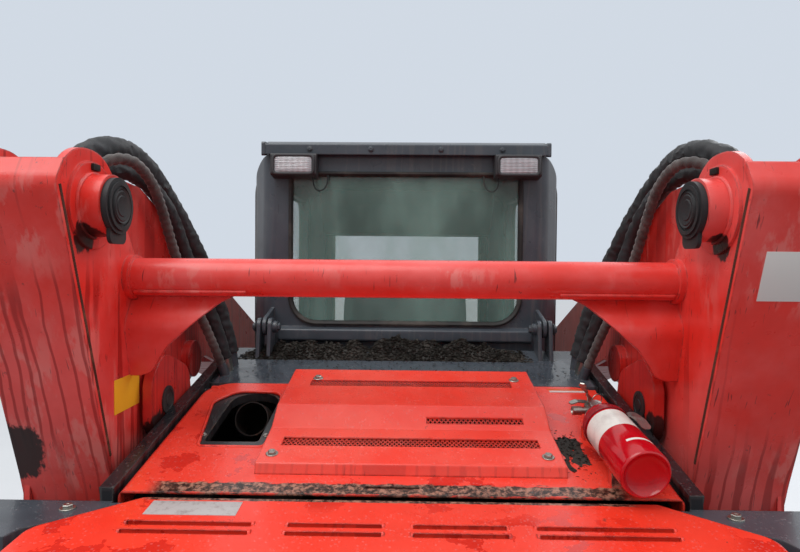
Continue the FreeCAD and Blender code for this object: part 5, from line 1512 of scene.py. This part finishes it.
    def build(self) -> None:
        self.windows()
        for at in Side:
            self.lamp("rear_lamp_" + at.word, (at.value * 0.382, self.rear_y - 0.058, 1.928), (0.068, 0.031), -1)
            self.lamp("front_lamp_" + at.word, (at.value * 0.380, 0.590, 1.9375), (0.052, 0.025), 1)
        self.pad("seat_pad", "seat_cushion", 4, 1)
        self.pad("back_pad", "seat_back", 5, 2)
        header = Piece("cab_header", Body.CAB, Coat.LINING, "plastic")
        header.skin([[Vector((x, y, z)) for y, z in self.header] for x in (-0.430, 0.430)])
        bmesh.ops.bevel(header.bm, geom=header.bm.edges[:], offset=0.012, segments=3, profile=0.6, affect="EDGES")
        header.keep()
        self.leaves()
        roof = [(Vector((x, self.rear_y - 0.0338, 1.985)), Vector((0, -1, 0))) for x in (-0.33, -0.12, 0.12, 0.33)]
        Fasteners("roof_bolts", Body.CAB, 0.007, roof, Coat.GREY).build()
        hinge = [(at.place(x, -0.670, 1.380), at.out * way) for at in Side for x, way in ((0.426, -1), (0.494, 1))]
        Fasteners("cab_hinge_bolts", Body.FRAME, 0.013, hinge, Coat.GREY).build()


@dataclass
class Links(Assembly):
    """Weld beads, bare plates and cap details of the rear links.

    Attributes:
        tube: The cross tube's place as (y, z).
        boss: The upper pin's place.
        control: The control link's rear pin.
        ear_x: The inner face of an upright.
    """

    tube: Flat = (-1.260, 1.560)
    boss: Flat = (-1.440, 1.710)
    control: Flat = (-1.135, 1.240)
    ear_x: float = 0.6385

    @staticmethod
    def weld(name: str, line: Sequence[Vector], size: float, closed: bool = False, coat: Coat = Coat.RED) -> None:
        """Lay a rippled weld bead along a line."""
        bead = Piece(name, Body.REAR_LINK, coat, "red_paint")

        def ripple(length: float, _: float) -> float:
            return size * (0.86 + 0.14 * abs(math.sin(length * 520.0)))

        if closed:
            bead.hoop(line, 0.003, ripple, 8)
        else:
            bead.tube(resample(line, 0.003), ripple, 8)
        bead.keep()

    def welds(self, at: Side) -> None:
        """Lay one side's weld beads."""
        (y, z), word = self.tube, at.word
        self.weld("tube_weld_" + word, circle(at.place(self.ear_x, y, z), 0.0455, 40), 0.0055, closed=True)
        heights = [step / 100 for step in range(117, 175, 3)]
        corner = [at.place(self.ear_x, -1.370 - 0.329 * (up - 1.125) + 0.0135, up) for up in heights]
        self.weld("corner_seam_" + word, corner, 0.0052, coat=Coat.SEAM)
        seam = [at.place(x / 100, y - 0.0345, z - 0.0325) for x in range(36, 64, 2)]
        self.weld("gusset_weld_" + word, seam, 0.0042)
        self.weld("boss_weld_" + word, circle(at.place(0.6335, *self.boss), 0.0655, 48), 0.005, closed=True)

    def caps(self, at: Side) -> None:
        """Put one side's pin caps and the lock of its upper pin."""
        rings = [
            (0.0, 0.012), (0.0015, 0.020), (0.0, 0.022), (0.0015, 0.030), (0.0, 0.032), (0.0018, 0.036),
            (-0.004, 0.038), (-0.006, 0.01)]
        face = Piece("cap_face_" + at.word, Body.REAR_LINK, Coat.RUBBER, "rubber")
        face.lathe(rings, at.place(0.576, *self.boss), -at.out, 40).keep()
        x0, x1 = sorted((at.value * 0.6395, at.value * 0.628))
        lock = Piece("pin_lock_" + at.word, Body.REAR_LINK, Coat.SOOT, "steel")
        lock.block((x0, -1.452, 1.782), (x1, -1.424, 1.796), 0.002).keep()
        rings = [
            (-0.001, 0.030), (0.0, 0.036), (0.0035, 0.036), (0.0045, 0.033), (0.0045, 0.026), (0.0030, 0.025),
            (0.0030, 0.015), (0.0048, 0.014), (0.0048, 0.002)]
        cap = Piece("control_cap_" + at.word, "control_link_" + at.word, Coat.RUBBER, "rubber")
        cap.lathe(rings, at.place(0.606, *self.control), -at.out, 40).keep()

    @staticmethod
    def plates() -> None:
        """Put the bare plates where the machine carries them."""
        ear = Piece("plate_left_ear", Body.REAR_LINK, Coat.YELLOW, "red_paint")
        ear.block((-0.6402, -1.347, 1.252), (-0.6385, -1.225, 1.330), 0.001).keep()
        upright = Piece("plate_right_upright", Body.REAR_LINK, Coat.WHITE, "red_paint")
        upright.block((0.684, -0.0008, -0.050), (0.806, 0.0008, 0.050), 0.0007)
        lean = Matrix.Rotation(math.atan2(0.204, 0.620), 4, "X")
        upright.move(Matrix.Translation((0, -1.5189, 1.578)) @ lean).keep()
        door = Piece("plate_door_top", Body.REAR_DOOR, Coat.WORN, "red_paint")
        door.block((-0.480, -0.026, -0.0008), (-0.305, 0.026, 0.0010), 0.0007)
        rear, front = (-1.770, 1.104), (-1.498, 1.130)
        slope = (front[1] - rear[1]) / (front[0] - rear[0])
        place = (0, -1.538, front[1] + slope * (-1.538 - front[0]))
        door.move(Matrix.Translation(place) @ Matrix.Rotation(math.atan(slope), 4, "X")).keep()

    def build(self) -> None:
        for at in Side:
            self.welds(at)
            self.caps(at)
        self.plates()
        corner = ((-1.560, 0.790), (-1.610, 0.740), (-1.530, 0.640))
        bolts = []
        for at in Side:
            bolts += [(at.place(x, y, 1.1178), UP) for y, x in corner]
            bolts += [(at.place(0.770, -1.6502, z), Vector((0, -1, 0))) for z in (0.40, 0.65)]
        Fasteners("corner_bolts", Body.FRAME, 0.010, bolts).build()
        pins = [(at.place(0.845, *self.boss), at.out) for at in Side]
        Fasteners("link_pin_bolts", Body.REAR_LINK, 0.014, pins).build()


@dataclass
class Tyre(Assembly):
    """A tyre with its bulged wall, crowned tread and slanting lugs.

    Attributes:
        end: Its end of the machine, front or rear.
        y: Its hub's place along the machine.
        side: Its side.
        radius: Its radius over the lugs.
        mid_x: Its middle plane.
        lugs: How many lugs each half has.
        wall: Half of its section, as pairs (from the middle plane, radius).
        bar: The outline of one lug on the tread, as pairs (from the middle plane, along the tread).
        levels: A lug's rings from root to crest, as (radius, growth, limit of its reach across).
    """

    end: str
    y: float
    side: Side
    radius: float = 0.420
    mid_x: float = 0.690
    lugs: int = 18
    wall: Sequence[Flat] = (
        (0.112, 0.206), (0.126, 0.226), (0.131, 0.240), (0.1345, 0.243), (0.1350, 0.248), (0.1345, 0.253),
        (0.142, 0.274), (0.1475, 0.298), (0.1490, 0.300), (0.1490, 0.306), (0.1482, 0.309), (0.1496, 0.322),
        (0.1478, 0.348), (0.1415, 0.371), (0.1330, 0.383), (0.1230, 0.3900), (0.0800, 0.3945), (0.0400, 0.3972),
        (0.0, 0.3980))
    bar: Sequence[Flat] = (
        (-0.008, -0.024), (0.036, -0.0115), (0.080, 0.0010), (0.124, 0.014), (0.149, 0.020), (0.149, 0.062),
        (0.110, 0.0496), (0.071, 0.0372), (0.032, 0.0248), (-0.008, 0.012))
    levels: Sequence[Point] = (
        (0.364, 1.05, 0.149), (0.390, 1.03, 0.149), (0.414, 1.0, 0.140), (0.4185, 0.97, 0.137), (0.4200, 0.92, 0.134))

    def build(self) -> None:
        word = f"{self.end}_{self.side.word}"
        middle = self.side.place(self.mid_x, self.y, self.radius)
        profile = [(-u, r) for u, r in self.wall] + list(self.wall[::-1])[1:]
        tread = Piece(f"tyre_{word}_tread", f"wheel_{word}", Coat.TYRE, "tyre")
        tread.lathe(profile, middle, Vector((1, 0, 0)), 120, loop=True)
        for k in range(2 * self.lugs):
            tread.skin(self.lug(middle, 1 if k % 2 == 0 else -1, math.pi * k / self.lugs))
        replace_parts(tread.keep(), f"tyre_{word}")

    def lug(self, middle: Vector, hand: int, turn: float) -> list[list[Vector]]:
        """Return the rings of one lug with sloping flanks and rounded crest."""
        count, pitch_radius = len(self.bar), 0.416
        cu, cv = (sum(pair[i] for pair in self.bar) / count for i in (0, 1))
        rings = []
        for reach, grow, limit in self.levels:
            ring = []
            for u, v in self.bar:
                along = min(cu + (u - cu) * grow, limit) * self.side.value * hand
                angle = (cv + (v - cv) * grow) / pitch_radius - turn
                ring.append(middle + Vector((along, reach * math.sin(angle), reach * math.cos(angle))))
            rings.append(ring)
        return rings


@dataclass
class Running(Assembly):
    """Tyres and wheel nuts."""

    hubs: Sequence[tuple[str, float]] = (("rear", -0.92), ("front", 0.18))
    hub_z: float = 0.42
    nut_x: float = 0.732
    nut_circle: float = 0.077
    nuts: int = 8

    def build(self) -> None:
        for end, y in self.hubs:
            for at in Side:
                Tyre(end, y, at).build()
                word, r = f"{end}_{at.word}", self.nut_circle
                angles = [math.tau * (i + 0.5) / self.nuts for i in range(self.nuts)]
                spots = [
                    (at.place(self.nut_x, y + r * math.cos(angle), self.hub_z + r * math.sin(angle)), at.out)
                    for angle in angles]
                Fasteners("wheel_nuts_" + word, "wheel_" + word, 0.012, spots).build()


# Stage


@dataclass
class Stage:
    """Camera, floor and soft light."""

    focal_px: float = 601.0
    width_px: float = 800.0
    eye: Point = (0.016, -2.67, 1.60)
    pitch_deg: float = -1.33
    yaw_deg: float = 0.9
    roll_deg: float = 0.5

    def camera(self) -> None:
        """Stand where the photographer stood."""
        data = bpy.data.cameras.new("camera")
        data.sensor_fit = "HORIZONTAL"
        data.sensor_width = 36.0
        data.lens = self.focal_px / self.width_px * data.sensor_width
        data.clip_end = 200.0
        made = linked("camera", data)
        turn = Matrix.Identity(4)
        for degrees, axis in ((self.yaw_deg, "Z"), (90 + self.pitch_deg, "X"), (self.roll_deg, "Z")):
            turn = turn @ Matrix.Rotation(math.radians(degrees), 4, axis)
        made.matrix_world = Matrix.Translation(self.eye) @ turn
        bpy.context.scene.camera = made

    def floor(self) -> None:
        """Lay a pale floor under the machine."""
        bm = bmesh.new()
        bmesh.ops.create_grid(bm, x_segments=2, y_segments=2, size=60.0)
        mesh = bpy.data.meshes.new("floor")
        bm.to_mesh(mesh)
        bm.free()
        made = linked("floor", mesh)
        material = bpy.data.materials.new("floor")
        material.use_nodes = True
        shader = material.node_tree.nodes["Principled BSDF"]
        graph = Graph(material.node_tree)
        tone = graph.place().noise(2.0, 4.0).mix((0.66, 0.67, 0.69), (0.72, 0.73, 0.75))
        graph.feed(shader.inputs["Base Color"], graph.seen().mix((0.22, 0.22, 0.23), tone))
        shader.inputs["Roughness"].default_value = 0.8
        mesh.materials.append(material)
        made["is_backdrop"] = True

    def world(self) -> None:
        """Light the scene softly from all round, with a pale backdrop."""
        world = bpy.data.worlds.new("studio")
        bpy.context.scene.world = world
        world.use_nodes = True
        world.node_tree.nodes.clear()
        graph = Graph(world.node_tree)
        rise = graph.value("ShaderNodeTexCoord", output="Generated").parts()[2]
        level = rise.band(-0.15, 0.9).between(0.42, 1.05)
        light = graph.value("ShaderNodeBackground", {"Color": (0.94, 0.97, 1.0), "Strength": level})
        view = graph.value("ShaderNodeBackground", {"Color": (0.64, 0.70, 0.78), "Strength": 1.0})
        mixed = graph.value("ShaderNodeMixShader", {0: graph.seen(), 1: light, 2: view})
        graph.add("ShaderNodeOutputWorld", {0: mixed})

    def lamp(self, name: str, at: Point, aim: Point, power: float, color: Color, size: float = 4.0) -> None:
        """Hang one large soft lamp."""
        data = bpy.data.lights.new(name, "AREA")
        data.shape = "DISK"
        data.size = size
        data.energy = power
        data.color = color
        made = linked(name, data)
        made.location = at
        made.rotation_euler = (Vector(aim) - Vector(at)).to_track_quat("-Z", "Y").to_euler()

    def build(self) -> None:
        """Set up the whole stage."""
        self.camera()
        self.floor()
        self.world()
        self.lamp("key", (-1.6, -2.6, 5.6), (0, -0.8, 1.0), 118.0, (1.0, 0.985, 0.96))
        self.lamp("fill", (4.0, 1.6, 4.8), (0, 0, 0.8), 95.0, (0.95, 0.98, 1.0))
        bpy.context.scene.view_settings.view_transform = "Standard"


def coat_nodes(nodes: dict[str, bpy.types.Object]) -> None:
    """Give every solid its finish.

    Args:
        nodes: The solids by name.
    """
    coats = {name: coat for coat, names in SOLIDS.items() for name in names.split()}
    for name, solid in nodes.items():
        coat = coats.get(name) or coats[name.rsplit("_", 1)[0]]
        solid.data.materials.clear()
        solid.data.materials.append(coat.material())
        LOG.info("solid %s: %s", name, coat.value.name)


def main() -> None:
    """Dress the machine and set the stage."""
    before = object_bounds()
    Stage().build()
    Hoses().build()
    coat_nodes(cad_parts)
    hood = Hood()
    for assembly in (hood, Exhaust(hood), Bottle(), Cab(hood), Links(), Running()):
        assembly.build()
        LOG.info("assembly %s done", type(assembly).__name__)
    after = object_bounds()
    sizes = {key: [list(map(float, corner)) for corner in value] for key, value in (("cad", before), ("visual", after))}


if __name__ == "__main__":
    main()
